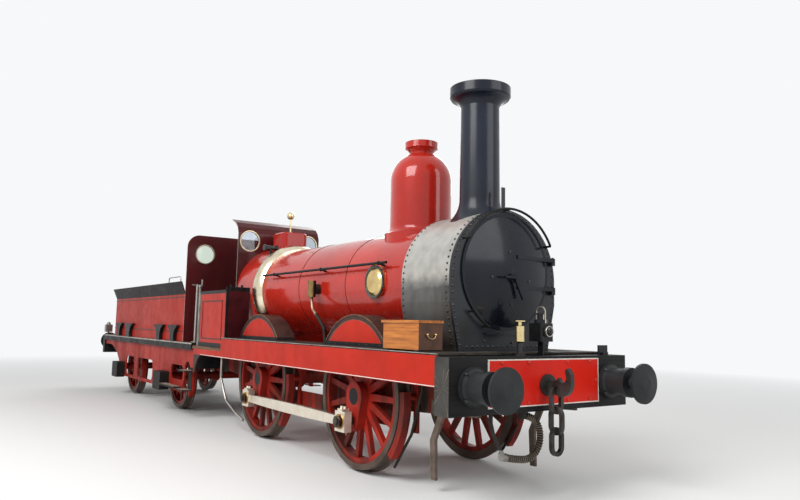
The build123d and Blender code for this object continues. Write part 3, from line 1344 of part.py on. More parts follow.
# Tender frames: outside plates with rounded openings, an arch behind the front leg, and brake blocks inside
openings = [
    # front end, rear end, bottom, top, all above the rail and behind the beam face
    (6700.0, 7320.0, 530.0, 760.0, 70.0),
    (8390.0, 9370.0, 400.0, 760.0, 90.0),
    (9630.0, 10230.0, 400.0, 760.0, 90.0),
]
leg_foot = rail + 400.0
tender_shoe_start = -30.0
tender_shoe_span = 44.0
with BuildPart() as tender_frames:
    with BuildSketch(Plane(origin=(0, tender_half, 0), x_dir=(1, 0, 0), z_dir=(0, -1, 0))):
        with BuildLine():
            Polyline((tender_front_x, tender_frame_top), (tender_rear_x, tender_frame_top),
                     (tender_rear_x, rail + 938),
                     (tender_rear_axle_x - 1000, rail + 938), (tender_rear_axle_x - 520, rail + 788),
                     (tender_rear_axle_x + 70, tender_frame_low), (tender_front_x - 505, tender_frame_low),
                     (tender_front_x - 395, rail + 550), (tender_front_x - 380, rail + 720))
            ThreePointArc((tender_front_x - 380, rail + 720), (tender_front_x - 255, rail + 840),
                          (tender_front_x - 130, rail + 720))
            Polyline((tender_front_x - 130, rail + 720), (tender_front_x - 130, leg_foot),
                     (tender_front_x, leg_foot),
                     (tender_front_x, tender_frame_top))
        make_face()
        for front, rear, low, high, corner in openings:
            with Locations((beam_front - (front + rear) / 2, rail + (low + high) / 2)):
                RectangleRounded(rear - front, high - low, corner, mode=Mode.SUBTRACT)
        with Locations((tender_front_axle_x, tender_axle_z), (tender_rear_axle_x, tender_axle_z)):
            Circle(tender_axle_r + 30, mode=Mode.SUBTRACT)
    extrude(amount=tender_plate)
    for x in (tender_front_axle_x, tender_rear_axle_x):
        over = Plane(origin=(x, 0, tender_axle_z), x_dir=(1, 0, 0), z_dir=(0, -1, 0))
        near = tender_tread_r + shoe_clear
        far = near + shoe_thick
        with BuildSketch(over.offset(shoe_inner)):
            with BuildLine():
                CenterArc((0, 0), near, tender_shoe_start, tender_shoe_span)
                CenterArc((0, 0), far, tender_shoe_start, tender_shoe_span)
                for angle in (radians(tender_shoe_start), radians(tender_shoe_start + tender_shoe_span)):
                    Line((near * cos(angle), near * sin(angle)), (far * cos(angle), far * sin(angle)))
            make_face()
        extrude(amount=shoe_wide)
        with BuildSketch(over.offset(shoe_inner + shoe_wide - 10)):
            with Locations((near + shoe_thick / 2, 170)):
                Rectangle(50, 420)
        extrude(amount=26)
        with BuildSketch(over.offset(shoe_inner + shoe_wide)):
            with Locations((near + shoe_thick / 2, 330)):
                Circle(22)
        extrude(amount=tender_half - tender_plate - shoe_inner - shoe_wide + 2)
    mirror(about=Plane.XZ)
tender_frames.part.label = "tender_frames"
export_step(tender_frames.part, "parts/tender_frames.step")

# Axleboxes on the outside of the frames
box_long = 400.0
box_high = 300.0
box_drop = 55.0
box_out = 1205.0
with BuildPart() as tender_axleboxes:
    for x in (tender_front_axle_x, tender_rear_axle_x):
        with BuildSketch(Plane(origin=(x, -tender_half - seat_gap, tender_axle_z), x_dir=(1, 0, 0),
                               z_dir=(0, -1, 0))):
            with Locations((0, -box_drop)):
                RectangleRounded(box_long, box_high, 30)
        extrude(amount=box_out - tender_half)
        with BuildSketch(Plane(origin=(x, -tender_half, tender_axle_z), x_dir=(1, 0, 0), z_dir=(0, -1, 0))):
            Circle(tender_axle_r + run_gap)
        extrude(amount=journal_end - tender_half + 5, mode=Mode.SUBTRACT)
    mirror(about=Plane.XZ)
tender_axleboxes.part.label = "tender_axleboxes"
export_step(tender_axleboxes.part, "parts/tender_axleboxes.step")

# Tender deck with its edge angle, the tank with its coal space, and the flared coping
edge_thick = 12.0
edge_low = rail + 1030.0
with BuildPart() as tender_deck:
    with BuildSketch(Plane.XY.offset(tender_frame_top)):
        with Locations(((tender_front_x + tender_rear_x) / 2, 0)):
            Rectangle(tender_front_x - tender_rear_x, 2 * (tender_half + ledge))
    extrude(amount=tender_deck_top - tender_frame_top)
    with BuildSketch(Plane.XY.offset(edge_low)):
        for side in (-1, 1):
            with Locations(((tender_front_x + tender_rear_x) / 2,
                            side * (tender_half + ledge - edge_thick / 2))):
                Rectangle(tender_front_x - tender_rear_x, edge_thick)
    extrude(amount=tender_frame_top - edge_low)
tender_deck.part.label = "tender_deck"
export_step(tender_deck.part, "parts/tender_deck.step")

tank_beads = [rail + 1293.0, rail + 1853.0]
tank_bead_high = 14.0
tank_bead_proud = 6.0
filler_x = beam_front - 10750.0
filler_r = 200.0
filler_high = 120.0
filler_wall = 14.0
filler_top = tank_top + filler_high
filler_lid_r = filler_r + 15.0
filler_pin_r = 6.0
filler_knuckle_r = 12.0
filler_hinge_x = filler_x - filler_lid_r - filler_knuckle_r - 2.0
with BuildPart() as tender_tank:
    with BuildSketch(Plane.XY.offset(tender_deck_top)):
        with Locations(((tank_front_x + tank_rear_x) / 2, 0)):
            Rectangle(tank_front_x - tank_rear_x, 2 * tank_half)
    extrude(amount=tank_top - tender_deck_top)
    for low in tank_beads:
        with BuildSketch(Plane.XY.offset(low)):
            with Locations(((tank_front_x + tank_rear_x - tank_bead_proud) / 2, 0)):
                Rectangle(tank_front_x - tank_rear_x + tank_bead_proud, 2 * (tank_half + tank_bead_proud))
        extrude(amount=tank_bead_high)
    with BuildSketch(Plane.XY.offset(coal_floor)):
        with Locations(((tank_front_x + 10 + coal_rear_x) / 2, 0)):
            Rectangle(tank_front_x + 10 - coal_rear_x, 2 * coal_half)
    extrude(amount=tank_top, mode=Mode.SUBTRACT)
    with BuildSketch(Plane.XY.offset(tank_top)):
        with Locations((filler_x, 0)):
            Circle(filler_r)
            Circle(filler_r - filler_wall, mode=Mode.SUBTRACT)
    extrude(amount=filler_high)
    knuckle_side = Plane(origin=(filler_hinge_x, 0, filler_top), x_dir=(1, 0, 0), z_dir=(0, -1, 0))
    for start in (-50.0, 21.0):
        with BuildSketch(knuckle_side.offset(start)):
            Circle(filler_knuckle_r)
            with Locations(((filler_x - filler_r + filler_wall / 2 - filler_hinge_x) / 2, -10)):
                Rectangle(filler_x - filler_r + filler_wall / 2 - filler_hinge_x, 14)
        extrude(amount=29)
    with BuildSketch(knuckle_side.offset(-50)):
        Circle(filler_pin_r)
    extrude(amount=100)
tender_tank.part.label = "tender_tank"
export_step(tender_tank.part, "parts/tender_tank.step")

lid_sheet = 12.0
with BuildPart() as filler_lid:
    with BuildSketch(Plane.XY.offset(filler_top + seat_gap)):
        with Locations((filler_x, 0)):
            Circle(filler_lid_r)
        with Locations(((filler_hinge_x + filler_x - filler_r) / 2, 0)):
            Rectangle(filler_x - filler_r - filler_hinge_x, 40)
    extrude(amount=lid_sheet)
    with BuildSketch(knuckle_side.offset(-20)):
        Circle(filler_knuckle_r)
    extrude(amount=40)
    with BuildSketch(knuckle_side.offset(-20)):
        Circle(filler_pin_r + run_gap)
    extrude(amount=40, mode=Mode.SUBTRACT)
    with BuildSketch(Plane.XY.offset(filler_top + seat_gap + lid_sheet)):
        with Locations((filler_x + filler_lid_r - 50, 0)):
            Rectangle(24, 110)
    extrude(amount=26)
filler_lid.part.label = "filler_lid"
export_step(filler_lid.part, "parts/filler_lid.step")

coping_thick = 14.0
coping_foot = 18.0
with BuildPart() as tender_coping:
    for inset_low, inset_high, beyond, mode in ((0, 0, 0, Mode.ADD),
                                                (coping_foot, coping_thick, 40, Mode.SUBTRACT)):
        for z, flare, inset in ((tank_top, 0, inset_low), (coping_top, coping_flare, inset_high)):
            rear = tank_rear_x - flare + inset
            with BuildSketch(Plane.XY.offset(z)):
                with Locations(((rear + tank_front_x + beyond) / 2, 0)):
                    Rectangle(tank_front_x + beyond - rear, 2 * (tank_half + flare - inset))
        loft(mode=mode)
tender_coping.part.label = "tender_coping"
export_step(tender_coping.part, "parts/tender_coping.step")

# Spring brackets on the deck beside the tank, waisted like a glass, two for each axle
bracket_high = 264.0
bracket_places = [
    # middle back from the beam face, half of the head, half of the foot
    (7980.0, 250.0, 105.0), (7200.0, 240.0, 100.0), (10780.0, 235.0, 105.0), (10010.0, 290.0, 120.0),
]
bracket_in = tender_half + tank_bead_proud + 1.0
bracket_thick = 56.0
with BuildPart() as tender_springs:
    for side in (-1, 1):
        for back, head, foot in bracket_places:
            face = Plane(origin=(beam_front - back, side * bracket_in, tender_deck_top), x_dir=(1, 0, 0),
                         z_dir=(0, -1, 0))
            with BuildSketch(face):
                with BuildLine():
                    Polyline((-foot, 0), (foot, 0))
                    ThreePointArc((foot, 0), (0.42 * head, 0.48 * bracket_high), (head, bracket_high - 26))
                    Polyline((head, bracket_high - 26), (head, bracket_high), (-head, bracket_high),
                             (-head, bracket_high - 26))
                    ThreePointArc((-head, bracket_high - 26), (-0.42 * head, 0.48 * bracket_high), (-foot, 0))
                make_face()
            extrude(amount=-side * bracket_thick)
tender_springs.part.label = "tender_springs"
export_step(tender_springs.part, "parts/tender_springs.step")

# Steps: two treads on the front leg of each frame and a long board behind them
step_face = tender_half + seat_gap
tread_out = 1200.0
tread_thick = 18.0
treads = [
    # front end, rear end, top above the rail
    (6200.0, 6500.0, 718.0), (6240.0, 6550.0, 423.0),
]
long_board = (6620.0, 7370.0, 445.0)
with BuildPart() as tender_steps:
    for side in (-1, 1):
        for front, rear, top in treads:
            with BuildSketch(Plane.XY.offset(rail + top - tread_thick)):
                with Locations((beam_front - (front + rear) / 2, side * (step_face + tread_out) / 2)):
                    Rectangle(rear - front, tread_out - step_face)
            extrude(amount=tread_thick)
        with BuildSketch(Plane.XY.offset(rail + treads[1][2] - tread_thick)):
            with Locations((tender_front_x - 65, side * (step_face + 5))):
                Rectangle(110, 10)
        extrude(amount=treads[0][2] - treads[1][2] + 60)
        front, rear, top = long_board
        with BuildSketch(Plane.XY.offset(rail + top - 30)):
            with Locations((beam_front - (front + rear) / 2, side * 1160)):
                Rectangle(rear - front, 120)
        extrude(amount=30)
        for back in (front + 150, rear - 120):
            with BuildSketch(Plane.XY.offset(rail + top - 42)):
                with Locations((beam_front - back, side * (step_face + 1215) / 2)):
                    Rectangle(36, 1215 - step_face)
            extrude(amount=12)
tender_steps.part.label = "tender_steps"
export_step(tender_steps.part, "parts/tender_steps.step")

# Tender fittings: brake column and dip column on the deck, grab rails on the coping, lamp on the rear beam
grab_front = 6860.0
grab_rear = 7480.0
grab_y = tank_half + coping_flare - coping_thick / 2
grab_r = 9.0
rear_lamp_x = tender_rear_x - tender_beam_thick / 2
rear_lamp_y = -1000.0
with BuildPart() as tender_fittings:
    for side in (-1, 1):
        for low, high, r in ((tender_deck_top, tender_deck_top + 14, 60), (tender_deck_top, rail + 2060, 20)):
            with BuildSketch(Plane.XY.offset(low)):
                with Locations((tender_front_x - 355, side * 920)):
                    Circle(r)
            extrude(amount=high - low)
        with BuildSketch(Plane.YZ.offset(tender_front_x - 365)):
            with Locations((side * 920, rail + 2050)):
                Rectangle(170, 20)
        extrude(amount=20)
        with BuildSketch(Plane.XY.offset(rail + 2050)):
            with Locations((tender_front_x - 355, side * 920 + 75)):
                Circle(12)
        extrude(amount=90)
        grab = Plane(origin=(beam_front, side * grab_y, 0), x_dir=(1, 0, 0), z_dir=(0, -1, 0))
        with BuildLine(grab) as grab_route:
            FilletPolyline((-grab_front, coping_top), (-grab_front, coping_top + 78),
                           (-grab_rear, coping_top + 78),
                           (-grab_rear, coping_top), radius=40)
        with BuildSketch(Plane(origin=grab_route.wire() @ 0, z_dir=grab_route.wire() % 0)):
            Circle(grab_r)
        sweep(path=grab_route.wire())
    for low, high, wide in ((tender_frame_top, rail + 1190, 36), (rail + 1190, rail + 1350, 140)):
        with BuildSketch(Plane.XY.offset(low)):
            with Locations((rear_lamp_x, rear_lamp_y)):
                Rectangle(wide if wide > 100 else 12, wide)
        extrude(amount=high - low)
    for low, high, r in ((rail + 1350, rail + 1380, 50), (rail + 1380, rail + 1410, 30)):
        with BuildSketch(Plane.XY.offset(low)):
            with Locations((rear_lamp_x, rear_lamp_y)):
                Circle(r)
        extrude(amount=high - low)
    with BuildSketch(Plane.YZ.offset(rear_lamp_x - 70)):
        with Locations((rear_lamp_y, rail + 1270)):
            Circle(44)
    extrude(amount=-20)
tender_fittings.part.label = "tender_fittings"
export_step(tender_fittings.part, "parts/tender_fittings.step")

# Tender weatherboard with round windows
with BuildPart() as tender_weatherboard:
    with BuildSketch(Plane.YZ.offset(tank_front_x + seat_gap)):
        with Locations((0, (tender_board_top + tender_deck_top) / 2)):
            RectangleRounded(2 * tank_half, tender_board_top - tender_deck_top, 200)
        with Locations((0, tender_deck_top + 110)):
            Rectangle(2 * tank_half, 220)
        for side in (-1, 1):
            with Locations((side * tender_window_y, tender_window_z)):
                Circle(tender_window_r, mode=Mode.SUBTRACT)
        with Locations((0, (coal_floor + tank_top) / 2)):
            Rectangle(2 * coal_half, tank_top - coal_floor, mode=Mode.SUBTRACT)
    extrude(amount=sheet)
tender_weatherboard.part.label = "tender_weatherboard"
export_step(tender_weatherboard.part, "parts/tender_weatherboard.step")

with BuildPart() as tender_glass:
    with BuildSketch(Plane.YZ.offset(tank_front_x + seat_gap + 3)):
        for side in (-1, 1):
            with Locations((side * tender_window_y, tender_window_z)):
                Circle(tender_window_r)
    extrude(amount=glass_thick)
tender_glass.part.label = "tender_glass"
export_step(tender_glass.part, "parts/tender_glass.step")

# End beams across the tender frames, and the drawbar to the engine's pin
beam_low = rail + 740.0
bar_mid = (slot_low + slot_high) / 2
with BuildPart() as tender_beams:
    with BuildSketch(Plane.YZ.offset(tender_rear_x)):
        with Locations((0, (tender_frame_top + beam_low) / 2)):
            Rectangle(2 * tender_half + 60, tender_frame_top - beam_low)
    extrude(amount=-tender_beam_thick)
    with BuildSketch(Plane.YZ.offset(tender_front_x - 160)):
        with Locations((0, (tender_frame_top + beam_low) / 2)):
            Rectangle(2 * (tender_half - tender_plate), tender_frame_top - beam_low)
    extrude(amount=160)
    with BuildSketch(Plane.XY.offset(bar_mid - 30)):
        with Locations((pin_x, 0)):
            Circle(95)
        with Locations(((pin_x + tender_front_x) / 2, 0)):
            Rectangle(pin_x - tender_front_x, 120)
        with Locations((pin_x, 0)):
            Circle(draw_pin_r + run_gap, mode=Mode.SUBTRACT)
    extrude(amount=60)
tender_beams.part.label = "tender_beams"
export_step(tender_beams.part, "parts/tender_beams.step")

make_buffers(tender_rear_x - tender_beam_thick, -1, "tender_buffers")
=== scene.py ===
import bpy
from math import cos, pi, radians, sin
from mathutils import Matrix, Vector


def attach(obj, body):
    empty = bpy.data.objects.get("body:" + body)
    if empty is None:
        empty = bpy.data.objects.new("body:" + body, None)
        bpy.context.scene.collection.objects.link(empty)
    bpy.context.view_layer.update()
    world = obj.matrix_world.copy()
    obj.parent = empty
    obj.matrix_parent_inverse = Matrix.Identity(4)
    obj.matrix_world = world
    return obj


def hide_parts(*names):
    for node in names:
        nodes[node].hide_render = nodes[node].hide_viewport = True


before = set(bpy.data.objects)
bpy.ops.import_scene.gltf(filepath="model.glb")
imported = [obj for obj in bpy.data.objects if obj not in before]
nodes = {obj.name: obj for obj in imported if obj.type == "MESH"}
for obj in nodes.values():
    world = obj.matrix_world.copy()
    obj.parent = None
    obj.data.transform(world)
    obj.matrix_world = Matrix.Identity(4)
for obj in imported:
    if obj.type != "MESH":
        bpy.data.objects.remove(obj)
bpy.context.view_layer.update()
scene = bpy.context.scene
scene.view_settings.view_transform = "Standard"
print("frame loaded:", len(nodes), "nodes")


# The camera, worked out from the photograph's gauge, wheels and buffers
cameraPlace = {
    "position": (10.408, -4.679, 1.510),
    "yaw": 55.33,             # degrees round the object, 0 looks along +Y
    "pitch": -6.323,          # below the horizon looks up
    "roll": 1.147,
    "focalPixels": 688.54,
    "middle": (391.38, 248.02),
    "picture": (800, 500),
    "sensorWidth": 36.0,
}


def placeCamera(c):
    yaw, pitch, roll = radians(c["yaw"]), radians(c["pitch"]), radians(c["roll"])
    back = Vector((sin(yaw) * cos(pitch), -cos(yaw) * cos(pitch), sin(pitch)))
    right = Vector((0, 0, 1)).cross(back).normalized()
    up = back.cross(right)
    across = right * cos(roll) + up * sin(roll)
    upward = up * cos(roll) - right * sin(roll)
    data = bpy.data.cameras.new("camera")
    cameraObject = bpy.data.objects.new("camera", data)
    scene.collection.objects.link(cameraObject)
    turn = Matrix((across, upward, back)).transposed()
    cameraObject.matrix_world = Matrix.Translation(c["position"]) @ turn.to_4x4()
    width, height = c["picture"]
    data.sensor_width = c["sensorWidth"]
    data.lens = c["focalPixels"] / width * c["sensorWidth"]
    data.shift_x = (width / 2 - c["middle"][0]) / width
    data.shift_y = (c["middle"][1] - height / 2) / width
    data.clip_start = 0.1
    data.clip_end = 200
    scene.camera = cameraObject


placeCamera(cameraPlace)
print("camera placed")


# The brake hose below the buffer beam, with the wire wound round it
brakeHose = {
    "across": 6.0,
    "route": [(-0.15367, 0.73363), (-0.06456, 0.70976), (0.0029, 0.64684), (0.03294, 0.55962),
              (0.01851, 0.4685), (-0.03701, 0.39483), (-0.12062, 0.35584), (-0.21274, 0.36067),
              (-0.3041, 0.37351), (-0.39433, 0.39269)],
    "diameter": 0.054,
    "length": 0.82,
    "wirePitch": 0.024,
    "wireThick": 0.0062,
    "wireSteps": 14,
}


def nothingSelected():
    if bpy.context.object is not None and bpy.context.object.mode != "OBJECT":
        bpy.ops.object.mode_set(mode="OBJECT")
    bpy.ops.object.select_all(action="DESELECT")


def makeHose(h):
    data = bpy.data.curves.new("brakeHose", "CURVE")
    data.dimensions = "3D"
    route = data.splines.new("NURBS")
    route.points.add(len(h["route"]) - 1)
    for point, (y, z) in zip(route.points, h["route"]):
        point.co = (h["across"], y, z, 1)
        # a curve's box is its points' radii wide, so the thickness is kept there
        point.radius = h["diameter"] / 2
    route.order_u = 3
    route.use_endpoint_u = True
    route.resolution_u = 12
    hose = bpy.data.objects.new("brakeHoseTube", data)
    scene.collection.objects.link(hose)
    # the line itself, read before the hose has its thickness
    line = bpy.data.meshes.new_from_object(hose.evaluated_get(bpy.context.evaluated_depsgraph_get()))
    path = [vertex.co.copy() for vertex in line.vertices]
    bpy.data.meshes.remove(line)
    data.bevel_depth = 1.0
    data.bevel_resolution = 6
    data.use_fill_caps = True
    wire = bpy.data.curves.new("brakeHoseWire", "CURVE")
    wire.dimensions = "3D"
    turnPoints = []
    travelled = 0.0
    for start, end in zip(path, path[1:]):
        run = (end - start).length
        along = (end - start).normalized()
        side = along.cross(Vector((1, 0, 0))).normalized()
        steps = max(2, int(run / h["wirePitch"] * h["wireSteps"]))
        for step in range(steps):
            place = travelled + run * step / steps
            angle = 2 * pi * place / h["wirePitch"]
            out = side * cos(angle) + Vector((1, 0, 0)) * sin(angle)
            turnPoints.append(start + along * (run * step / steps) + out * (h["diameter"] / 2))
        travelled += run
    helix = wire.splines.new("POLY")
    helix.points.add(len(turnPoints) - 1)
    for point, place in zip(helix.points, turnPoints):
        point.co = (*place, 1)
    wire.bevel_depth = h["wireThick"]
    wire.bevel_resolution = 1
    winding = bpy.data.objects.new("brakeHoseWinding", wire)
    scene.collection.objects.link(winding)
    nothingSelected()
    winding.select_set(True)
    bpy.context.view_layer.objects.active = winding
    bpy.ops.object.convert(target="MESH")
    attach(winding, "engine")
    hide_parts("brake_hose")
    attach(hose, "engine")
    print("hose length read from its line:", round(travelled, 3))
    return hose, winding


hoseTube, hoseWinding = makeHose(brakeHose)
print("brake hose hung")


# Paints and metals. Every pattern reads object coordinates, which are metres on every piece.
def newMaterial(name):
    material = bpy.data.materials.new(name)
    material.use_nodes = True
    tree = material.node_tree
    shader = tree.nodes["Principled BSDF"]
    return material, tree, shader


def put(tree, inputs, values):
    # joins what comes from another node, sets what is a plain value
    for key, value in values.items():
        if isinstance(value, bpy.types.NodeSocket):
            tree.links.new(value, inputs[key])
        else:
            inputs[key].default_value = value


def addNode(tree, kind, inputs=None, **settings):
    node = tree.nodes.new(kind)
    for key, value in settings.items():
        setattr(node, key, value)
    put(tree, node.inputs, inputs or {})
    return node


def objectPoint(tree):
    return addNode(tree, "ShaderNodeTexCoord").outputs["Object"]


def stretched(tree, point, scale):
    return addNode(tree, "ShaderNodeMapping", {"Vector": point, "Scale": scale}).outputs["Vector"]


def noise(tree, point, scale, detail=4.0, roughness=0.55):
    node = addNode(tree, "ShaderNodeTexNoise", {"Vector": point, "Scale": scale, "Detail": detail,
                                                "Roughness": roughness})
    return node.outputs["Fac"]


def ramp(tree, value, low, high, toLow=0.0, toHigh=1.0):
    node = addNode(tree, "ShaderNodeMapRange", {"Value": value, "From Min": low, "From Max": high,
                                                "To Min": toLow, "To Max": toHigh})
    return node.outputs["Result"]


def times(tree, a, b, operation="MULTIPLY"):
    return addNode(tree, "ShaderNodeMath", {0: a, 1: b}, operation=operation).outputs[0]


def mixColour(tree, share, a, b):
    a, b = [(*colour, 1) if isinstance(colour, tuple) else colour for colour in (a, b)]
    return addNode(tree, "ShaderNodeMix", {0: share, 6: a, 7: b}, data_type="RGBA").outputs[2]


def addBump(tree, shader, height, strength, distance=0.002):
    bump = addNode(tree, "ShaderNodeBump", {"Height": height, "Strength": strength, "Distance": distance})
    tree.links.new(bump.outputs["Normal"], shader.inputs["Normal"])


def rgb(colour):
    shares = [value / 255 for value in colour]
    return tuple(v / 12.92 if v <= 0.04045 else ((v + 0.055) / 1.055) ** 2.4 for v in shares)


def oilPaint(name, colour, shade, roughness=0.35, coat=0.3, coatRoughness=0.12, dirt=0.25, dirtTop=1.2,
             dirtColour=(0.035, 0.028, 0.022), ripple=0.12):
    # brushed oil paint: slow colour drift, fine orange peel, grime that gathers low down and in streaks
    material, tree, shader = newMaterial(name)
    point = objectPoint(tree)
    drift = noise(tree, point, 1.3, 5)
    mottle = noise(tree, point, 9.0, 6, 0.6)
    streak = noise(tree, stretched(tree, point, (2.2, 2.2, 0.5)), 2.0, 5)
    height = addNode(tree, "ShaderNodeSeparateXYZ", {"Vector": point}).outputs["Z"]
    low = ramp(tree, height, dirtTop, 0.1)
    colour, shade = rgb(colour), rgb(shade)
    base = mixColour(tree, ramp(tree, drift, 0.35, 0.65), colour, shade)
    base = mixColour(tree, ramp(tree, mottle, 0.45, 0.8, 0.0, 0.25), base, shade)
    grime = times(tree, ramp(tree, streak, 0.42, 0.72), times(tree, times(tree, low, 1.4, "ADD"), dirt))
    rough = times(tree, ramp(tree, mottle, 0.3, 0.75, roughness - 0.08, roughness + 0.1),
                  times(tree, grime, 0.5), "ADD")
    put(tree, shader.inputs, {"Base Color": mixColour(tree, grime, base, dirtColour), "Roughness": rough,
                              "Specular IOR Level": 0.1, "Coat Weight": coat,
                              "Coat Roughness": coatRoughness})
    addBump(tree, shader, noise(tree, point, 160.0, 3), ripple, 0.0006)
    return material


def oldIron(name, colour, shade, roughness=0.5, metal=0.0, rust=0.1, grain=0.35, scale=1.0):
    # cast or forged iron under thin paint: pitted, with brown showing through in patches
    material, tree, shader = newMaterial(name)
    point = objectPoint(tree)
    cloud = noise(tree, point, 3.0 * scale, 6, 0.6)
    pits = noise(tree, point, 60.0 * scale, 5, 0.65)
    patches = noise(tree, point, 8.0 * scale, 8, 0.7)
    base = mixColour(tree, ramp(tree, cloud, 0.35, 0.65), rgb(colour), rgb(shade))
    base = mixColour(tree, ramp(tree, patches, 0.56, 0.75, 0.0, rust), base, (0.12, 0.055, 0.025))
    rough = ramp(tree, pits, 0.3, 0.7, roughness - 0.1, roughness + 0.12)
    put(tree, shader.inputs, {"Base Color": base, "Roughness": rough, "Metallic": metal,
                              "Specular IOR Level": 0.18})
    addBump(tree, shader, pits, grain, 0.0012)
    return material


def brightMetal(name, colour, tarnish, roughness=0.22, streaks=(1.0, 1.0, 1.0), amount=0.5):
    material, tree, shader = newMaterial(name)
    point = objectPoint(tree)
    cloud = noise(tree, point, 6.0, 6, 0.6)
    scratch = noise(tree, stretched(tree, point, streaks), 70.0, 4)
    colour = mixColour(tree, ramp(tree, cloud, 0.4, 0.7, 0.0, amount), rgb(colour), rgb(tarnish))
    rough = ramp(tree, cloud, 0.3, 0.75, roughness - 0.06, roughness + 0.16)
    put(tree, shader.inputs, {"Base Color": colour, "Roughness": rough, "Metallic": 1.0})
    addBump(tree, shader, scratch, 0.15, 0.0004)
    return material


def boardWood(name, light, dark, board, along, roughness=0.45, coat=0.2, joint=0.9):
    # sawn boards with grain along one axis and dark joints a board apart
    material, tree, shader = newMaterial(name)
    point = objectPoint(tree)
    squeeze = {"x": (1.0, 14.0, 14.0), "y": (14.0, 1.0, 14.0), "z": (14.0, 14.0, 1.0)}[along]
    grain = noise(tree, stretched(tree, point, squeeze), 3.0, 8, 0.62)
    fine = noise(tree, stretched(tree, point, tuple(4 * s for s in squeeze)), 4.0, 4)
    parts = addNode(tree, "ShaderNodeSeparateXYZ", {"Vector": point})
    across = parts.outputs[board[0]]
    step = times(tree, times(tree, across, 1 / board[1]), 0.5, "ADD")
    place = times(tree, step, 1.0, "FRACT")
    gap = times(tree, ramp(tree, place, 0.0, 0.05, 1.0, 0.0), ramp(tree, place, 0.95, 1.0), "MAXIMUM")
    number = times(tree, step, 1.0, "FLOOR")
    tone = noise(tree, addNode(tree, "ShaderNodeCombineXYZ", {"X": number}).outputs[0], 3.7, 0)
    light, dark = rgb(light), rgb(dark)
    base = mixColour(tree, ramp(tree, grain, 0.38, 0.66), light, dark)
    base = mixColour(tree, ramp(tree, tone, 0.35, 0.65, 0.0, 0.35), base, dark)
    base = mixColour(tree, times(tree, gap, joint), base, tuple(0.25 * c for c in dark))
    rough = ramp(tree, grain, 0.3, 0.7, roughness, roughness + 0.15)
    put(tree, shader.inputs, {"Base Color": base, "Roughness": rough, "Specular IOR Level": 0.2,
                              "Coat Weight": coat})
    height = times(tree, times(tree, fine, 0.3), times(tree, gap, -1.0), "ADD")
    addBump(tree, shader, height, 0.4, 0.002)
    return material


def span(tree, value, low, high):
    return times(tree, times(tree, value, low, "GREATER_THAN"), times(tree, value, high, "LESS_THAN"))


def clearGlass(name, tint):
    material, tree, shader = newMaterial(name)
    smear = noise(tree, objectPoint(tree), 14.0, 6)
    put(tree, shader.inputs, {"Base Color": (*tint, 1), "Transmission Weight": 1.0, "IOR": 1.45,
                              "Roughness": ramp(tree, smear, 0.4, 0.8, 0.01, 0.12)})
    return material


# Plain finishes, one row each. Colours are red, green and blue up to 255, dirt and glass up to 1.
paints = {
    # light, dark, roughness, coat, the coat's roughness, dirt, where it ends, its colour, ripple
    "vermilionGloss": ((186, 38, 24), (162, 31, 20), 0.28, 0.75, 0.10, 0.05, 1.1),
    "wheelRed": ((168, 42, 31), (120, 32, 25), 0.45, 0.06, 0.2, 0.45, 1.6),
    "tenderRed": ((168, 44, 31), (148, 37, 27), 0.46, 0.03, 0.25, 0.25, 1.1),
    "blackPaint": ((26, 26, 28), (16, 16, 18), 0.42, 0.1, 0.2, 0.2, 1.2, (0.04, 0.034, 0.028)),
    "blackUnder": ((34, 31, 29), (22, 20, 19), 0.6, 0.0, 0.3, 0.6, 1.4, (0.07, 0.055, 0.04), 0.3),
    "doorBlack": ((20, 25, 36), (12, 15, 24), 0.26, 0.3, 0.12, 0.1, 1.8, (0.018, 0.016, 0.015), 0.2),
    "chimneyBlack": ((28, 34, 48), (18, 23, 34), 0.32, 0.35, 0.2, 0.2, 3.0, (0.04, 0.04, 0.042), 0.2),
    "dialWhite": ((226, 222, 210), (206, 200, 186), 0.35, 0.5, 0.1, 0.05, 0.5),
    "rivetRed": ((206, 50, 32), (182, 40, 28), 0.35, 0.3, 0.1, 0.05, 1.0),
    "rivetTender": ((172, 46, 31), (150, 38, 27), 0.42, 0.05, 0.2, 0.1, 1.0),
    "boardBlack": ((52, 48, 46), (34, 31, 30), 0.55, 0.0, 0.3, 0.5, 2.0, (0.09, 0.075, 0.06)),
    "valanceRed": ((188, 40, 21), (170, 35, 20), 0.42, 0.06, 0.2, 0.12, 1.05),
    "plateRed": ((220, 40, 24), (204, 33, 21), 0.38, 0.12, 0.15, 0.06, 1.0),
    "splasherRed": ((190, 41, 22), (170, 36, 21), 0.4, 0.08, 0.2, 0.08, 1.05),
    "cabRed": ((182, 40, 24), (160, 34, 22), 0.4, 0.08, 0.2, 0.1, 1.2),
    "valveRed": ((176, 36, 26), (150, 30, 24), 0.28, 0.5, 0.10, 0.05, 1.1),
    "frameRed": ((150, 44, 34), (100, 30, 26), 0.5, 0.1, 0.25, 0.75, 1.6),
    "tankRed": ((170, 43, 29), (156, 38, 26), 0.45, 0.03, 0.25, 0.10, 1.3),
    "deckBlack": ((26, 26, 27), (17, 17, 18), 0.45, 0.05, 0.2, 0.3, 1.4, (0.035, 0.03, 0.025)),
    "stepBlack": ((38, 35, 33), (24, 22, 21), 0.5, 0.0, 0.3, 0.4, 1.4, (0.07, 0.06, 0.05)),
    "lampBlack": ((30, 31, 34), (20, 21, 23), 0.35, 0.3, 0.12, 0.1, 1.5),
    "cabBoard": ((84, 25, 27), (62, 18, 21), 0.36, 0.3, 0.15, 0.1, 1.5),
    "copingBlack": ((30, 23, 23), (18, 15, 16), 0.5, 0.04, 0.3, 0.05, 1.5),
    "smokeboxBlack": ((100, 99, 96), (78, 77, 75), 0.34, 0.6, 0.3, 0.62, 2.3, (0.016, 0.014, 0.012), 0.25),
}
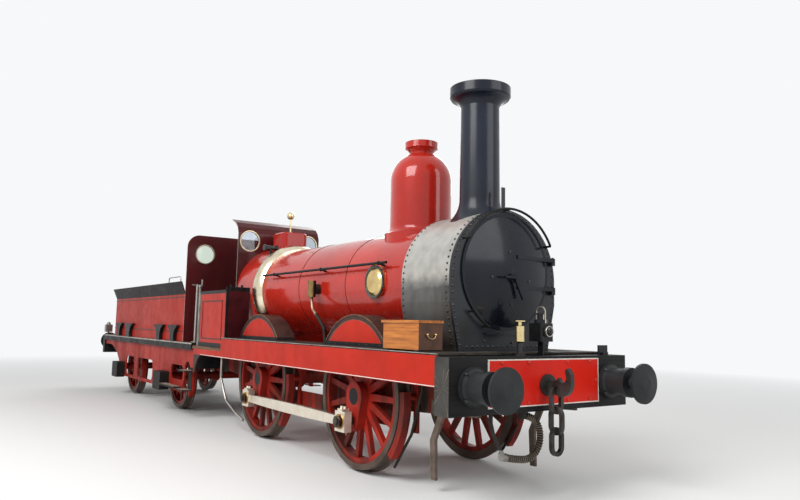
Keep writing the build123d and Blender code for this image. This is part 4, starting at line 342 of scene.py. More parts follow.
irons = {
    # light, dark, roughness, metal, rust, grain, scale
    "bufferIron": ((44, 46, 47), (30, 31, 33), 0.42, 0.0, 0.1),
    "hookIron": ((74, 71, 68), (44, 42, 40), 0.4, 0.45, 0.25, 0.4, 2.0),
    "axleIron": ((30, 28, 27), (19, 18, 17), 0.55, 0.0, 0.3),
    "tyreSteel": ((98, 84, 75), (72, 61, 54), 0.45, 0.4, 0.4, 0.3),
    "hoseRubber": ((28, 26, 24), (18, 16, 15), 0.62, 0.0, 0.0, 0.3, 3.0),
    "hoseWire": ((134, 122, 108), (92, 82, 72), 0.5, 0.2, 0.1, 0.3, 3.0),
    "rivetBlack": ((92, 92, 90), (40, 41, 43), 0.24, 0.5, 0.0, 0.1, 4.0),
    "pipeIron": ((52, 47, 43), (36, 32, 29), 0.45, 0.3, 0.4),
    "clampIron": ((52, 48, 45), (34, 31, 29), 0.5, 0.2, 0.3),
}
metals = {
    # light, tarnished, roughness, stretch of the scratches, amount of tarnish
    "wornSteel": ((170, 166, 160), (110, 102, 94), 0.36),
    "polishedBrass": ((226, 200, 138), (150, 118, 66), 0.2),
    "paleBrass": ((228, 218, 192), (150, 126, 92), 0.2),
    "rimBrass": ((198, 186, 158), (120, 104, 80), 0.32),
    "brownBrass": ((176, 134, 82), (104, 72, 42), 0.3),
    "lubricatorGold": ((226, 206, 156), (168, 138, 88), 0.26),
    "rodCream": ((238, 230, 214), (204, 190, 168), 0.36, (0.2, 1.0, 1.0), 0.4),
}
woods = {
    # light, dark, axis and width of the boards, axis of the grain, roughness, coat, joints
    "chestWood": ((206, 128, 50), (150, 82, 30), ("Y", 0.14), "x", 0.38, 0.35, 0.55),
    "floorWood": ((120, 96, 74), (78, 60, 45), ("Y", 0.18), "x", 0.6, 0.0),
    "chestOrange": ((206, 128, 50), (150, 82, 30), ("Z", 0.083), "x", 0.38, 0.35, 0.55),
    "beamBlack": ((24, 24, 25), (14, 14, 15), ("Z", 3.0), "y", 0.55, 0.05, 0.0),
}
glasses = {
    # tint
    "windowGlass": ((0.50, 0.56, 0.64),),
    "tenderGlass": ((0.72, 0.80, 0.70),),
    "lensGlass": ((0.92, 0.95, 0.96),),
}
mixed = {}
for maker, rows in ((oilPaint, paints), (oldIron, irons), (brightMetal, metals), (boardWood, woods),
                    (clearGlass, glasses)):
    mixed.update({name: maker(name, *values) for name, values in rows.items()})
print("plain finishes mixed:", len(mixed))


# Masks for lines and bare places. Each gives 1 where its coat goes, from the piece's own metres.
def within(x=(None, None), y=(None, None), z=(None, None)):
    # inside a box, where None leaves a side open
    def mask(tree, point):
        parts = addNode(tree, "ShaderNodeSeparateXYZ", {"Vector": point})
        share = None
        for axis, (low, high) in zip("XYZ", (x, y, z)):
            if low is None and high is None:
                continue
            here = span(tree, parts.outputs[axis], -99 if low is None else low, 99 if high is None else high)
            share = here if share is None else times(tree, share, here)
        return share
    return mask


def bothSides(**box):
    # the same box on the left and right, with y counted outwards from the middle
    def mask(tree, point):
        parts = addNode(tree, "ShaderNodeSeparateXYZ", {"Vector": point}).outputs
        outward = times(tree, parts["Y"], 0.0, "ABSOLUTE")
        both = addNode(tree, "ShaderNodeCombineXYZ", {"X": parts["X"], "Y": outward, "Z": parts["Z"]})
        return within(**box)(tree, both.outputs[0])
    return mask


def ringRound(x, z, inner, outer):
    # between two radii about a line across the object
    def mask(tree, point):
        parts = addNode(tree, "ShaderNodeSeparateXYZ", {"Vector": point}).outputs
        away = addNode(tree, "ShaderNodeCombineXYZ", {"X": times(tree, parts["X"], x, "SUBTRACT"),
                                                      "Z": times(tree, parts["Z"], z, "SUBTRACT")})
        reach = addNode(tree, "ShaderNodeVectorMath", {0: away.outputs[0]}, operation="LENGTH")
        return span(tree, reach.outputs["Value"], inner, outer)
    return mask


def facesAlong(axis, low, high=1.1):
    def mask(tree, point):
        normal = tree.nodes.new("ShaderNodeNewGeometry").outputs["True Normal"]
        return span(tree, addNode(tree, "ShaderNodeSeparateXYZ", {"Vector": normal}).outputs[axis], low, high)
    return mask


def merged(operation, *masks):
    def mask(tree, point):
        total, *others = [part(tree, point) if callable(part) else part for part in masks]
        for share in others:
            total = times(tree, total, share, operation)
        return total
    return mask


def allOf(*masks):
    return merged("MULTIPLY", *masks)


def anyOf(*masks):
    return merged("MAXIMUM", *masks)


def butNot(*masks):
    return merged("SUBTRACT", *masks)


def ringsRound(centres, inner, outer):
    return anyOf(*[ringRound(x, z, inner, outer) for x, z in centres])


def fadesAt(start, full, amount=1.0, waver=0.05):
    # comes in between two heights, along a wavering edge
    def mask(tree, point):
        height = addNode(tree, "ShaderNodeSeparateXYZ", {"Vector": point}).outputs["Z"]
        drift = ramp(tree, noise(tree, point, 9.0, 5), 0.2, 0.8, -waver, waver)
        return ramp(tree, times(tree, height, drift, "ADD"), start, full, 0.0, amount)
    return mask


def cracksFrom(x, z, spread=3.0):
    # cracks that fan out from the heart of the timber in its end grain
    def mask(tree, point):
        parts = addNode(tree, "ShaderNodeSeparateXYZ", {"Vector": point})
        turn = times(tree, times(tree, parts.outputs["Z"], z, "SUBTRACT"),
                     times(tree, parts.outputs["X"], x, "SUBTRACT"), "ARCTAN2")
        rays = addNode(tree, "ShaderNodeCombineXYZ", {"X": times(tree, turn, spread)})
        return ramp(tree, noise(tree, rays.outputs[0], 2.6, 3), 0.60, 0.66)
    return mask


# Colours of the lines, light and dark of each
palePaint = ((168, 163, 154), (122, 116, 108))
linePaint = ((232, 226, 218), (206, 198, 188))
brownPaint = ((72, 50, 44), (52, 36, 33))
blackLine = ((28, 27, 28), (18, 18, 19))

# Places that several pieces share, in metres
frontAxle, rearAxle, axleHeight = 4.262, 1.850, 0.7645
splasherCentres = ((frontAxle, 0.8685), (rearAxle, 0.8685))
rightPins = ((4.24047, 0.51844), (1.82847, 0.51844))
leftPins = ((4.50806, 0.74297), (2.09606, 0.74297))
cabPanel = {"x": (0.158, 0.972), "y": (1.0525, None)}

# Painted nodes: the plain finish they start from, then coats laid over it one by one.
# A coat is where it goes, its two colours, roughness and metal.
paintWork = {
    "running_boards": ("boardBlack", [  # black chequer with a worn pale edge
        (bothSides(y=(1.0992, None)), blackLine),
        (bothSides(y=(1.0872, None), z=(1.271, None)), palePaint, 0.4, 0.4),
    ]),
    "valances": ("valanceRed", [  # a thin pale line along the lower edge
        (within(x=(0.28, None), z=(1.006, 1.013)), linePaint),
        (within(z=(None, 1.0025)), brownPaint, 0.5),
    ]),
    "beam_plate": ("plateRed", [  # a white line round the edge
        (butNot(1.0, bothSides(y=(-1, 0.690), z=(0.838, 1.223))), linePaint),
    ]),
    "splashers": ("splasherRed", [  # brown border with a bright bead, brown top and a black foot strip
        (ringsRound(splasherCentres, 0.6845, 0.7465), brownPaint, 0.4),
        (ringsRound(splasherCentres, 0.6785, 0.6845), ((132, 92, 78), (96, 62, 54)), 0.4),
        (facesAlong("Y", -0.5, 0.5), brownPaint, 0.42),
        (allOf(ringsRound(splasherCentres, 0.7335, 0.7465), bothSides(y=(0.8805, None))),
         ((176, 148, 110), (116, 92, 70)), 0.34, 0.8),
        (within(z=(None, 1.319)), blackLine),
    ]),
    "cab_sides": ("cabRed", [  # brown lines, black foot, top and edges, pale posts, maroon front sheet
        (butNot(bothSides(**cabPanel, z=(1.240, 1.807)),
                bothSides(x=(0.180, 0.950), y=(1.0525, None), z=(1.262, 1.785))),
         ((120, 30, 22), (96, 25, 20)), 0.4),
        (bothSides(**cabPanel, z=(1.236, 1.266)), brownPaint, 0.4),
        (bothSides(**cabPanel, z=(1.781, 1.811)), brownPaint, 0.4),
        (within(z=(None, 1.191)), blackLine),
        (within(z=(1.903, None)), blackLine, 0.35),
        (bothSides(x=(None, 0.082), y=(1.0, None)), blackLine, 0.4),
        (bothSides(x=(None, 0.043), y=(0.9, None)), palePaint, 0.35, 0.5),
        (bothSides(x=(1.086, None), y=(0.69, 1.054), z=(None, 1.99)), ((70, 22, 26), (50, 15, 19)), 0.38),
        (bothSides(x=(1.0985, None), y=(1.012, None), z=(None, 1.99)), blackLine, 0.4),
        (within(x=(1.08, None), z=(1.935, 1.99)), blackLine, 0.4),
        (bothSides(x=(0.05, 1.1), y=(None, 1.0405), z=(None, 1.93)), ((66, 34, 28), (48, 26, 22)), 0.5),
    ]),
    "safety_valve": ("valveRed", [  # pale brass ball and spindle, black whistle valve
        (within(z=(2.862, None)), ((228, 214, 178), (190, 160, 104)), 0.22, 1.0),
        (within(x=(1.0, None), y=(None, -0.21)), blackLine, 0.4),
    ]),
    "feed_pipes": ("pipeIron", [  # worn copper below the clack valves, brassy valves, silver pipes at the cab
        (within(x=(2.0, 3.1), z=(None, 1.80)), ((176, 138, 118), (122, 84, 66)), 0.32, 0.9),
        (bothSides(x=(2.85, 3.1), y=(0.70, None), z=(1.80, None)), ((170, 142, 96), (96, 74, 48)), 0.32, 1.0),
        (within(x=(None, 1.6)), ((186, 182, 176), (140, 132, 124)), 0.32, 0.9),
    ]),
    "brake_pipe": ("clampIron", [  # bright clamp at the lower end of the hose
        (within(y=(-0.47, -0.36), z=(None, 0.46)), ((150, 146, 140), (104, 98, 92)), 0.34, 0.8),
    ]),
    "main_frames": ("frameRed", [  # bare guard irons and black ends in front of the red
        (within(x=(5.26, None), z=(None, 0.819)), ((112, 98, 88), (80, 68, 60)), 0.5, 0.2),
        (within(x=(5.3, None), z=(0.819, None)), blackLine, 0.5),
    ]),
    "tender_tank": ("tankRed", [  # two lines along the side, coal dust inside, worn top
        (within(z=(1.3205, 1.3355)), brownPaint, 0.4),
        (within(z=(1.8805, 1.8955)), brownPaint, 0.4),
        (bothSides(x=(-4.16, -0.6), y=(-0.741, 0.741), z=(1.3, None)), ((58, 46, 40), (34, 28, 25)), 0.7),
        (within(z=(1.927, None)), ((70, 60, 54), (46, 40, 37)), 0.55),
    ]),
    "tender_deck": ("deckBlack", [  # pale worn edge, brown trodden top
        (bothSides(y=(1.0945, None), z=(1.142, None)), palePaint, 0.4, 0.4),
        (facesAlong("Z", 0.5), ((72, 62, 54), (50, 43, 38)), 0.6),
    ]),
    "tender_steps": ("stepBlack", [  # pale trodden tops
        (facesAlong("Z", 0.5), ((178, 168, 156), (128, 116, 104)), 0.45, 0.3),
    ]),
    "lamp": ("lampBlack", [  # dark edges, pale wire handle, bright mount of the lens
        (butNot(within(x=(5.868, 6.032), y=(0.010, 0.180), z=(1.382, 1.548)),
                within(x=(5.874, 6.026), y=(0.021, 0.173), z=(1.385, 1.543))), blackLine, 0.3),
        (within(x=(5.86, 6.04), y=(0.09, 0.104), z=(1.5475, None)),
         ((214, 206, 192), (160, 148, 130)), 0.3, 0.8),
        (within(x=(6.0312, 6.056), y=(None, 0.3), z=(1.36, 1.53)),
         ((200, 190, 170), (150, 136, 112)), 0.25, 1.0),
    ]),
    "lubricator": ("lubricatorGold", [  # pale gold barrel on a dark foot
        (within(z=(None, 1.376)), blackLine, 0.4),
    ]),
    ("coupling_rod_right", "coupling_rod_left"): ("rodCream", [
        # cream steel with brown brasses round the pins
        (allOf(anyOf(allOf(ringsRound(rightPins, 0.0, 0.0765), within(y=(-2, 0))),
                     allOf(ringsRound(leftPins, 0.0, 0.0765), within(y=(0, 2)))),
               bothSides(y=(1.0125, None))), ((188, 150, 96), (120, 86, 52)), 0.3, 1.0),
    ]),
    "tool_chest": ("chestOrange", [  # brown end boards, dark feet
        (facesAlong("X", 0.9), ((96, 58, 36), (66, 40, 26)), 0.5),
        (within(z=(None, 1.292)), blackLine, 0.6),
    ]),
    "weatherboard": ("cabBoard", [  # maroon with worn pale sides
        (anyOf(facesAlong("Y", 0.9), facesAlong("Y", -1.1, -0.9)), palePaint, 0.4, 0.4),
    ]),
    "tender_weatherboard": ("cabBoard", [  # maroon with a worn pale edge all round
        (facesAlong("X", -0.3, 0.3), palePaint, 0.4, 0.4),
    ]),
    ("front_wheels", "rear_wheels"): ("wheelRed", [  # black axle ends, bright faces of the crank pins
        (allOf(ringsRound(((frontAxle, axleHeight), (rearAxle, axleHeight)), 0.0, 0.0865),
               bothSides(y=(0.8655, None))), blackLine, 0.4),
        (bothSides(y=(0.8665, None)), ((96, 82, 72), (62, 52, 46)), 0.35, 0.7),
    ]),
    "boiler": ("vermilionGloss", [  # dark hoop lines at the edges of the bands
        (within(x=(edge - 0.0035, edge + 0.0035)), ((70, 24, 20), (52, 18, 16)), 0.4)
        for edge in (4.7375, 4.7825, 3.5445, 3.5895, 2.3905, 2.4355)
    ]),
    "smokebox": ("smokeboxBlack", [  # wrapper with a painted reflection, pale above and dark below, its front plate blue-black
        # painted reflection: the top of the wrapper paler
        (fadesAt(1.86, 2.0), ((168, 166, 160), (146, 144, 139)), 0.3),
        # painted reflection: the wrapper darker towards the bottom
        (fadesAt(1.80, 1.55, 0.7), ((58, 56, 53), (44, 42, 40))),
        (anyOf(facesAlong("X", 0.8), within(x=(5.561, None))), ((27, 30, 37), (19, 21, 27)), 0.36),
    ]),
    "buffer_beam": ("beamBlack", [  # weathered end grain with pale cracks
        (bothSides(y=(1.1175, None)), ((66, 64, 60), (50, 48, 46)), 0.6),
        (allOf(cracksFrom(6.02, 1.0), bothSides(y=(1.1175, None), z=(None, 1.17))),
         ((150, 140, 128), (96, 88, 80)), 0.7),
    ]),
}

# The nodes with one finish all over
plainNodes = {
    "bufferIron": ("front_buffers", "tender_buffers"),
    "hookIron": ("draw_hook", "coupling_chain"),
    "doorBlack": ("smokebox_door",),
    "chimneyBlack": ("chimney",),
    "vermilionGloss": ("dome", "firebox"),
    "paleBrass": ("firebox_band",),
    "windowGlass": ("weatherboard_glass",),
    "blackPaint": ("backhead", "handrails", "tender_beams", "tender_springs", "filler_lid"),
    "axleIron": ("fire_door", "tender_axleboxes"),
    "floorWood": ("cab_floor",),
    "polishedBrass": ("side_discs",),
    "chestWood": ("chest_lid",),
    "blackUnder": ("cylinder_block", "drag_beam"),
    "wheelRed": ("brakes", "tender_front_wheels", "tender_rear_wheels"),
    "tyreSteel": ("front_tyres", "rear_tyres", "tender_front_tyres", "tender_rear_tyres"),
    "tenderRed": ("tender_frames",),
    "tenderGlass": ("tender_glass",),
    "hoseRubber": ("brake_hose",),
    "wornSteel": ("tender_fittings",),
    "copingBlack": ("tender_coping",),
}


def layer(material, share, colours, roughness=0.45, metal=0.0, patchy=7.0):
    # paints or bares the places where share is 1, over what is there already
    tree = material.node_tree
    shader = tree.nodes["Principled BSDF"]
    patch = ramp(tree, noise(tree, objectPoint(tree), patchy, 5), 0.4, 0.7)
    paint = mixColour(tree, patch, rgb(colours[0]), rgb(colours[1]))
    for name, value in (("Base Color", paint), ("Roughness", roughness), ("Metallic", metal)):
        socket = shader.inputs[name]
        kind, before, after, out = ("RGBA", 6, 7, 2) if name == "Base Color" else ("FLOAT", 2, 3, 0)
        under = socket.links[0].from_socket if socket.links else socket.default_value
        joint = addNode(tree, "ShaderNodeMix", {0: share, before: under, after: value}, data_type=kind)
        tree.links.new(joint.outputs[out], socket)


def paintTheLines(work):
    painted = {}
    for named, (ground, coats) in work.items():
        material = mixed[ground].copy()
        material.name = ground + "Painted"
        tree = material.node_tree
        point = objectPoint(tree)
        for where, *values in coats:
            layer(material, where(tree, point), *values)
        painted.update({name: material for name in ((named,) if isinstance(named, str) else named)})
    return painted


finishes = paintTheLines(paintWork)
finishes.update({name: mixed[finish] for finish, members in plainNodes.items() for name in members})
for name, node in nodes.items():
    node.data.materials.clear()
    node.data.materials.append(finishes[name])
hoseTube.data.materials.append(mixed["hoseRubber"])
hoseWinding.data.materials.append(mixed["hoseWire"])
print("finishes given to", len(finishes), "nodes")


# Shared by the modelled pieces: a start at its size and place, then work in edit mode
turnTo = {"x": (0, pi / 2, 0), "y": (-pi / 2, 0, 0), "z": (0, 0, 0)}


def added(name):
    piece = bpy.context.object
    piece.name = name
    bpy.ops.object.transform_apply(location=True, rotation=True, scale=True)
    return piece


def roundBar(name, middle, along, radius, length, sides=24):
    nothingSelected()
    bpy.ops.mesh.primitive_cylinder_add(vertices=sides, radius=radius, depth=length, location=middle,
                                        rotation=turnTo[along])
    return added(name)


def selectFaces(piece, test):
    bpy.context.view_layer.objects.active = piece
    bpy.ops.object.mode_set(mode="EDIT")
    bpy.ops.mesh.select_mode(type="FACE")
    bpy.ops.mesh.select_all(action="DESELECT")
    bpy.ops.object.mode_set(mode="OBJECT")
    for face in piece.data.polygons:
        face.select = test(face.center, face.normal)
    bpy.ops.object.mode_set(mode="EDIT")


def softened(piece, width, segments=2, smooth=35):
    nothingSelected()
    piece.select_set(True)
    bpy.context.view_layer.objects.active = piece
    edge = piece.modifiers.new("softEdge", "BEVEL")
    edge.width = width
    edge.segments = segments
    edge.limit_method = "ANGLE"
    bpy.ops.object.modifier_apply(modifier=edge.name)
    bpy.ops.object.shade_smooth_by_angle(angle=radians(smooth))
    return piece


def finished(piece, body, finish):
    piece.data.materials.clear()
    piece.data.materials.append(mixed[finish])
    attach(piece, body)
    return piece


def joined(pieces, name):
    nothingSelected()
    for piece in pieces:
        piece.select_set(True)
    bpy.context.view_layer.objects.active = pieces[0]
    if len(pieces) > 1:
        bpy.ops.object.join()
    pieces[0].name = name
    return pieces[0]


def copiesAt(model, places, name):
    # one model facing +Z at the origin, copied to each place and turned to face outwards
    copies = []
    for place, outward in places:
        twin = model.copy()
        twin.data = model.data.copy()
        turn = Vector((0, 0, 1)).rotation_difference(Vector(outward)).to_matrix().to_4x4()
        twin.data.transform(Matrix.Translation(Vector(place)) @ turn)
        scene.collection.objects.link(twin)
        copies.append(twin)
    bpy.data.objects.remove(model)
    return joined(copies, name)


def flatRing(name, middle, along, outer, inner, thick, sides=48):
    # a washer: both caps inset and opened, the bore walled, its edges eased
    axis = "xyz".index(along)
    ring = roundBar(name, middle, along, outer, thick, sides)
    selectFaces(ring, lambda centre, normal: abs(normal[axis]) > 0.9)
    bpy.ops.mesh.inset(thickness=outer - inner, use_individual=True)
    bpy.ops.mesh.delete(type="FACE")
    bpy.ops.mesh.select_mode(type="EDGE")
    bpy.ops.mesh.select_all(action="DESELECT")
    bpy.ops.mesh.select_non_manifold()
    bpy.ops.mesh.bridge_edge_loops()
    bpy.ops.mesh.select_all(action="SELECT")
    bpy.ops.mesh.normals_make_consistent(inside=False)
    return softened(ring, thick * 0.3)


def capNut(across, high, stub):
    # six-sided nut with a chamfered top and a round stub, facing +Z with its seat at the origin
    nut = roundBar("nut", (0, 0, high / 2), "z", across, high, 6)
    selectFaces(nut, lambda centre, normal: normal.z > 0.9)
    bpy.ops.mesh.inset(thickness=across * 0.16, depth=high * 0.12)
    bpy.ops.mesh.inset(thickness=across * 0.30, depth=0)
    bpy.ops.mesh.extrude_region_move(TRANSFORM_OT_translate={"value": (0, 0, stub)})
    return softened(nut, across * 0.05, 1)


def rivetHead(radius, rise=0.6):
    # half a ball, flattened, with its seat at the origin
    nothingSelected()
    bpy.ops.mesh.primitive_uv_sphere_add(segments=8, ring_count=6, radius=radius)
    head = added("rivetHead")
    bpy.ops.object.mode_set(mode="EDIT")
    bpy.ops.mesh.select_all(action="SELECT")
    bpy.ops.mesh.bisect(plane_co=(0, 0, 0), plane_no=(0, 0, 1), use_fill=True, clear_inner=True)
    bpy.ops.mesh.select_all(action="SELECT")
    bpy.ops.transform.resize(value=(1, 1, rise))
    bpy.ops.mesh.normals_make_consistent(inside=False)
    bpy.ops.object.mode_set(mode="OBJECT")
    bpy.ops.object.shade_smooth_by_angle(angle=radians(50))
    return head


def halved(middle, axis, squash, smooth, keepAhead=True):
    # cuts the piece in hand through a point, keeps the half ahead or behind, closes and flattens it
    bpy.ops.object.mode_set(mode="EDIT")
    bpy.ops.mesh.select_all(action="SELECT")
    bpy.ops.mesh.bisect(plane_co=middle, plane_no=axis, use_fill=True, clear_inner=keepAhead,
                        clear_outer=not keepAhead)
    bpy.ops.mesh.select_all(action="SELECT")
    bpy.ops.transform.resize(value=squash, center_override=middle)
    bpy.ops.mesh.normals_make_consistent(inside=False)
    bpy.ops.object.mode_set(mode="OBJECT")
    bpy.ops.object.shade_smooth_by_angle(angle=radians(smooth))


def alongLine(start, end, count, outward):
    start, end = Vector(start), Vector(end)
    return [(start.lerp(end, (step + 0.5) / count), outward) for step in range(count)]


# Rivets: rings round both ends of the smokebox, its front plate, the foot strips, beam plate and tank
rivetRows = {
    "boilerHeight": 1.960, "wrapperRadius": 0.668, "plateRadius": 0.661, "knee": 0.230, "drop": 0.654,
    "footHalf": 0.587, "plateFootHalf": 0.566, "rowPlaces": (5.505, 4.832), "plateFace": 5.587,
    "archCount": 34, "sideCount": 4, "slantCount": 7, "headRadius": 0.0120,
    "plateBottomHeight": 1.322, "plateBottomHalf": 0.52, "plateBottomCount": 16,
    "hingeHeights": (2.198, 1.868), "hingeRoom": 0.045,
}


def archPlaces(r, x, radius, footHalf, facesFront):
    middle = Vector((x, 0, r["boilerHeight"]))
    ahead = Vector((1, 0, 0))
    places = []
    for step in range(r["archCount"] + 1):
        turn = pi * step / r["archCount"]
        spoke = Vector((0, cos(turn), sin(turn)))
        places.append((middle + spoke * radius, ahead if facesFront else spoke))
    knee = r["boilerHeight"] - r["knee"]
    foot = r["boilerHeight"] - r["drop"]
    for side in (-1, 1):
        outward = ahead if facesFront else Vector((0, side, 0))
        places += alongLine((x, side * radius, knee), (x, side * radius, r["boilerHeight"]), r["sideCount"],
                            outward)
        slant = Vector((0, side * (knee - foot), footHalf - radius)).normalized()
        places += alongLine((x, side * footHalf, foot), (x, side * radius, knee), r["slantCount"],
                            ahead if facesFront else slant)
    return places


def clearOfHinges(r, place):
    return place.y < 0 or min(abs(place.z - height) for height in r["hingeHeights"]) > r["hingeRoom"]


def makeSmokeboxRivets(r):
    places = []
    for x in r["rowPlaces"]:
        places += archPlaces(r, x, r["wrapperRadius"], r["footHalf"], False)
    front = archPlaces(r, r["plateFace"], r["plateRadius"], r["plateFootHalf"], True)
    places += [(place, outward) for place, outward in front if clearOfHinges(r, place)]
    half = r["plateBottomHalf"]
    places += alongLine((r["plateFace"], -half, r["plateBottomHeight"]),
                        (r["plateFace"], half, r["plateBottomHeight"]), r["plateBottomCount"], (1, 0, 0))
    rivets = copiesAt(rivetHead(r["headRadius"]), places, "smokeboxRivets")
    return finished(rivets, "engine", "rivetBlack")


makeSmokeboxRivets(rivetRows)
print("smokebox riveted")

stripRivets = {
    "splashers": {"centres": (4.262, 1.850), "half": 0.56, "count": 9, "out": 0.886, "height": 1.298},
    "cab": {"start": 0.11, "end": 1.05, "count": 11, "out": 1.058, "height": 1.160},
    "beamPlate": {"face": 6.112, "acrossEach": (-0.55, -0.23, 0.27, 0.57), "top": 1.203, "low": 0.858,
                  "ends": 0.655, "middle": 1.03},
    "tank": {"start": -0.76, "end": -5.14, "count": 58, "out": 1.050, "height": 1.300},
    "tankEnds": {"columns": (-0.735, -2.2, -3.7, -5.165), "low": 1.37, "high": 1.86, "count": 8, "out": 1.05},
    "small": 0.0065, "plateHead": 0.018,
}


def sideRow(row, side, start, end):
    # a row on one side, between two places (x, z)
    across = side * row["out"]
    return alongLine((start[0], across, start[1]), (end[0], across, end[1]), row["count"], (0, side, 0))


def makeStripRivets(s):
    black, red, tank = [], [], []
    strip, cab, line, ends = s["splashers"], s["cab"], s["tank"], s["tankEnds"]
    for side in (-1, 1):
        for x in strip["centres"]:
            black += sideRow(strip, side, (x - strip["half"], strip["height"]),
                             (x + strip["half"], strip["height"]))
        black += sideRow(cab, side, (cab["start"], cab["height"]), (cab["end"], cab["height"]))
        tank += sideRow(line, side, (line["start"], line["height"]), (line["end"], line["height"]))
        for x in ends["columns"]:
            tank += sideRow(ends, side, (x, ends["low"]), (x, ends["high"]))
    plate = s["beamPlate"]
    for across in plate["acrossEach"]:
        for height in (plate["low"], plate["top"]):
            red.append(((plate["face"], across, height), (1, 0, 0)))
    for side in (-1, 1):
        red.append(((plate["face"], side * plate["ends"], plate["middle"]), (1, 0, 0)))
    finished(copiesAt(rivetHead(s["small"]), black, "stripRivets"), "engine", "rivetBlack")
    finished(copiesAt(rivetHead(s["plateHead"]), red, "beamPlateRivets"), "engine", "rivetRed")
    finished(copiesAt(rivetHead(s["small"], 0.45), tank, "tankRivets"), "tender", "rivetTender")


makeStripRivets(stripRivets)
print("strips riveted")

# Brass rims of the round windows, on both faces of each board
windowRims = {
    "engine": {"front": 0.558, "rear": 0.540, "out": 0.500, "height": 2.733, "clear": 0.144, "outer": 0.166},
    "tender": {"front": -0.685, "rear": -0.703, "out": 0.750, "height": 2.598, "clear": 0.146,
               "outer": 0.164},
    "thick": 0.010,
}


def makeWindowRims(w):
    for body in ("engine", "tender"):
        place = w[body]
        for side in (-1, 1):
            for face in ("front", "rear"):
                rim = flatRing("windowRim", (place[face], side * place["out"], place["height"]), "x",
                               place["outer"], place["clear"], w["thick"])
                finished(rim, body, "rimBrass")


makeWindowRims(windowRims)
print("windows rimmed")

# Dark rim round the blank domed plate on each side of the boiler
discRims = {"along": 4.230, "height": 1.960, "out": 0.622, "outer": 0.181, "inner": 0.154, "thick": 0.016}


def makeDiscRims(d):
    for side in (-1, 1):
        rim = flatRing("discRim", (d["along"], side * d["out"], d["height"]), "y", d["outer"], d["inner"],
                       d["thick"], 64)
        finished(rim, "engine", "rivetBlack")


makeDiscRims(discRims)

# Lamp: clear lens dome in a bright ring
lampLens = {"middle": (6.054, 0.097, 1.473), "radius": 0.041, "rise": 0.35, "ringOuter": 0.051,
            "ringThick": 0.012}


def makeLens(lamp):
    nothingSelected()
    bpy.ops.mesh.primitive_uv_sphere_add(segments=32, ring_count=16, radius=lamp["radius"],
                                         location=lamp["middle"], rotation=turnTo["x"])
    lens = added("lampLens")
    halved(lamp["middle"], (1, 0, 0), (lamp["rise"], 1, 1), 50)
    finished(lens, "engine", "lensGlass")
    finished(flatRing("lensRing", lamp["middle"], "x", lamp["ringOuter"], lamp["radius"], lamp["ringThick"]),
             "engine", "wornSteel")


makeLens(lampLens)
print("disc rims and lamp lens made")

# Nuts: four on each buffer flange, one on each coupling-rod pin
nutPlaces = {
    "bufferFace": 6.138, "bufferOut": 0.865, "bufferHeight": 1.016, "bufferCircle": 0.154, "bufferNut": 0.013,
    "bufferHigh": 0.018, "bufferStub": 0.006,
    "pins": ((4.24047, -1.056, 0.51844), (4.50806, 1.056, 0.74297)),
    "rearPins": ((1.82847, -1.056, 0.51844), (2.09606, 1.056, 0.74297)),
    "pinNut": 0.040, "pinHigh": 0.012, "pinStub": 0.004,
}


def makeNuts(n):
    around = []
    for side in (-1, 1):
        for quarter in range(4):
            turn = pi / 4 + quarter * pi / 2
            around.append(((n["bufferFace"], side * n["bufferOut"] + n["bufferCircle"] * cos(turn),
                            n["bufferHeight"] + n["bufferCircle"] * sin(turn)), (1, 0, 0)))
    finished(copiesAt(capNut(n["bufferNut"], n["bufferHigh"], n["bufferStub"]), around, "bufferNuts"),
             "engine", "rivetBlack")
    for places, body in ((n["pins"], "front_wheelset"), (n["rearPins"], "rear_wheelset")):
        nuts = copiesAt(capNut(n["pinNut"], n["pinHigh"], n["pinStub"]),
                        [(place, (0, 1 if place[1] > 0 else -1, 0)) for place in places], "pinNuts")
        finished(nuts, body, "hookIron")


makeNuts(nutPlaces)
print("nuts fitted")

# Small bolts on the smokebox door and low on its front plate
frontBolts = {
    "door": ((5.6615, -0.2466, 1.9709), (5.6689, -0.0231, 2.2218), (5.6616, 0.2399, 1.9503),
             (5.6528, 0.0077, 1.7195)),
    "plate": ((5.587, -0.2755, 1.3756), (5.587, -0.4090, 1.3159), (5.587, 0.0811, 1.3560)),
    "across": 0.012, "high": 0.010, "stub": 0.004,
}


def makeFrontBolts(f):
    for places, body in ((f["door"], "smokebox_door"), (f["plate"], "engine")):
        bolts = copiesAt(capNut(f["across"], f["high"], f["stub"]), [(place, (1, 0, 0)) for place in places],
                         "frontBolts")
        finished(bolts, body, "rivetBlack")


makeFrontBolts(frontBolts)
print("front bolts fitted")

# Tool chest: a brass drop handle between two studs on each end
chestHandles = {
    "ends": ((5.610, 1), (5.065, -1)), "across": -0.9225, "height": 1.425, "half": 0.046, "wire": 0.0045,
    "squash": 0.8, "studRadius": 0.011, "studReach": 0.016, "studSunk": 0.008,
}


def makeChestHandles(c):
    for x, ahead in c["ends"]:
        nothingSelected()
        hang = (x + ahead * c["studReach"], c["across"], c["height"])
        bpy.ops.mesh.primitive_torus_add(major_radius=c["half"], minor_radius=c["wire"], major_segments=32,
                                         minor_segments=10, location=hang, rotation=turnTo["x"])
        handle = added("chestHandle")
        halved(hang, (0, 0, 1), (1, 1, c["squash"]), 40, False)
        studs = []
        for side in (-1, 1):
            place = (x + ahead * c["studReach"] / 2, c["across"] + side * c["half"], c["height"])
            stud = roundBar("stud", place, "x", c["studRadius"], c["studReach"] + c["studSunk"], 16)
            selectFaces(stud, lambda centre, normal: ahead * normal.x > 0.9)
            bpy.ops.mesh.inset(thickness=c["studRadius"] * 0.35, depth=0.002)
            studs.append(softened(stud, 0.0015))
        finished(joined([handle] + studs, "chestHandle"), "engine", "polishedBrass")


makeChestHandles(chestHandles)
print("chest handles hung")

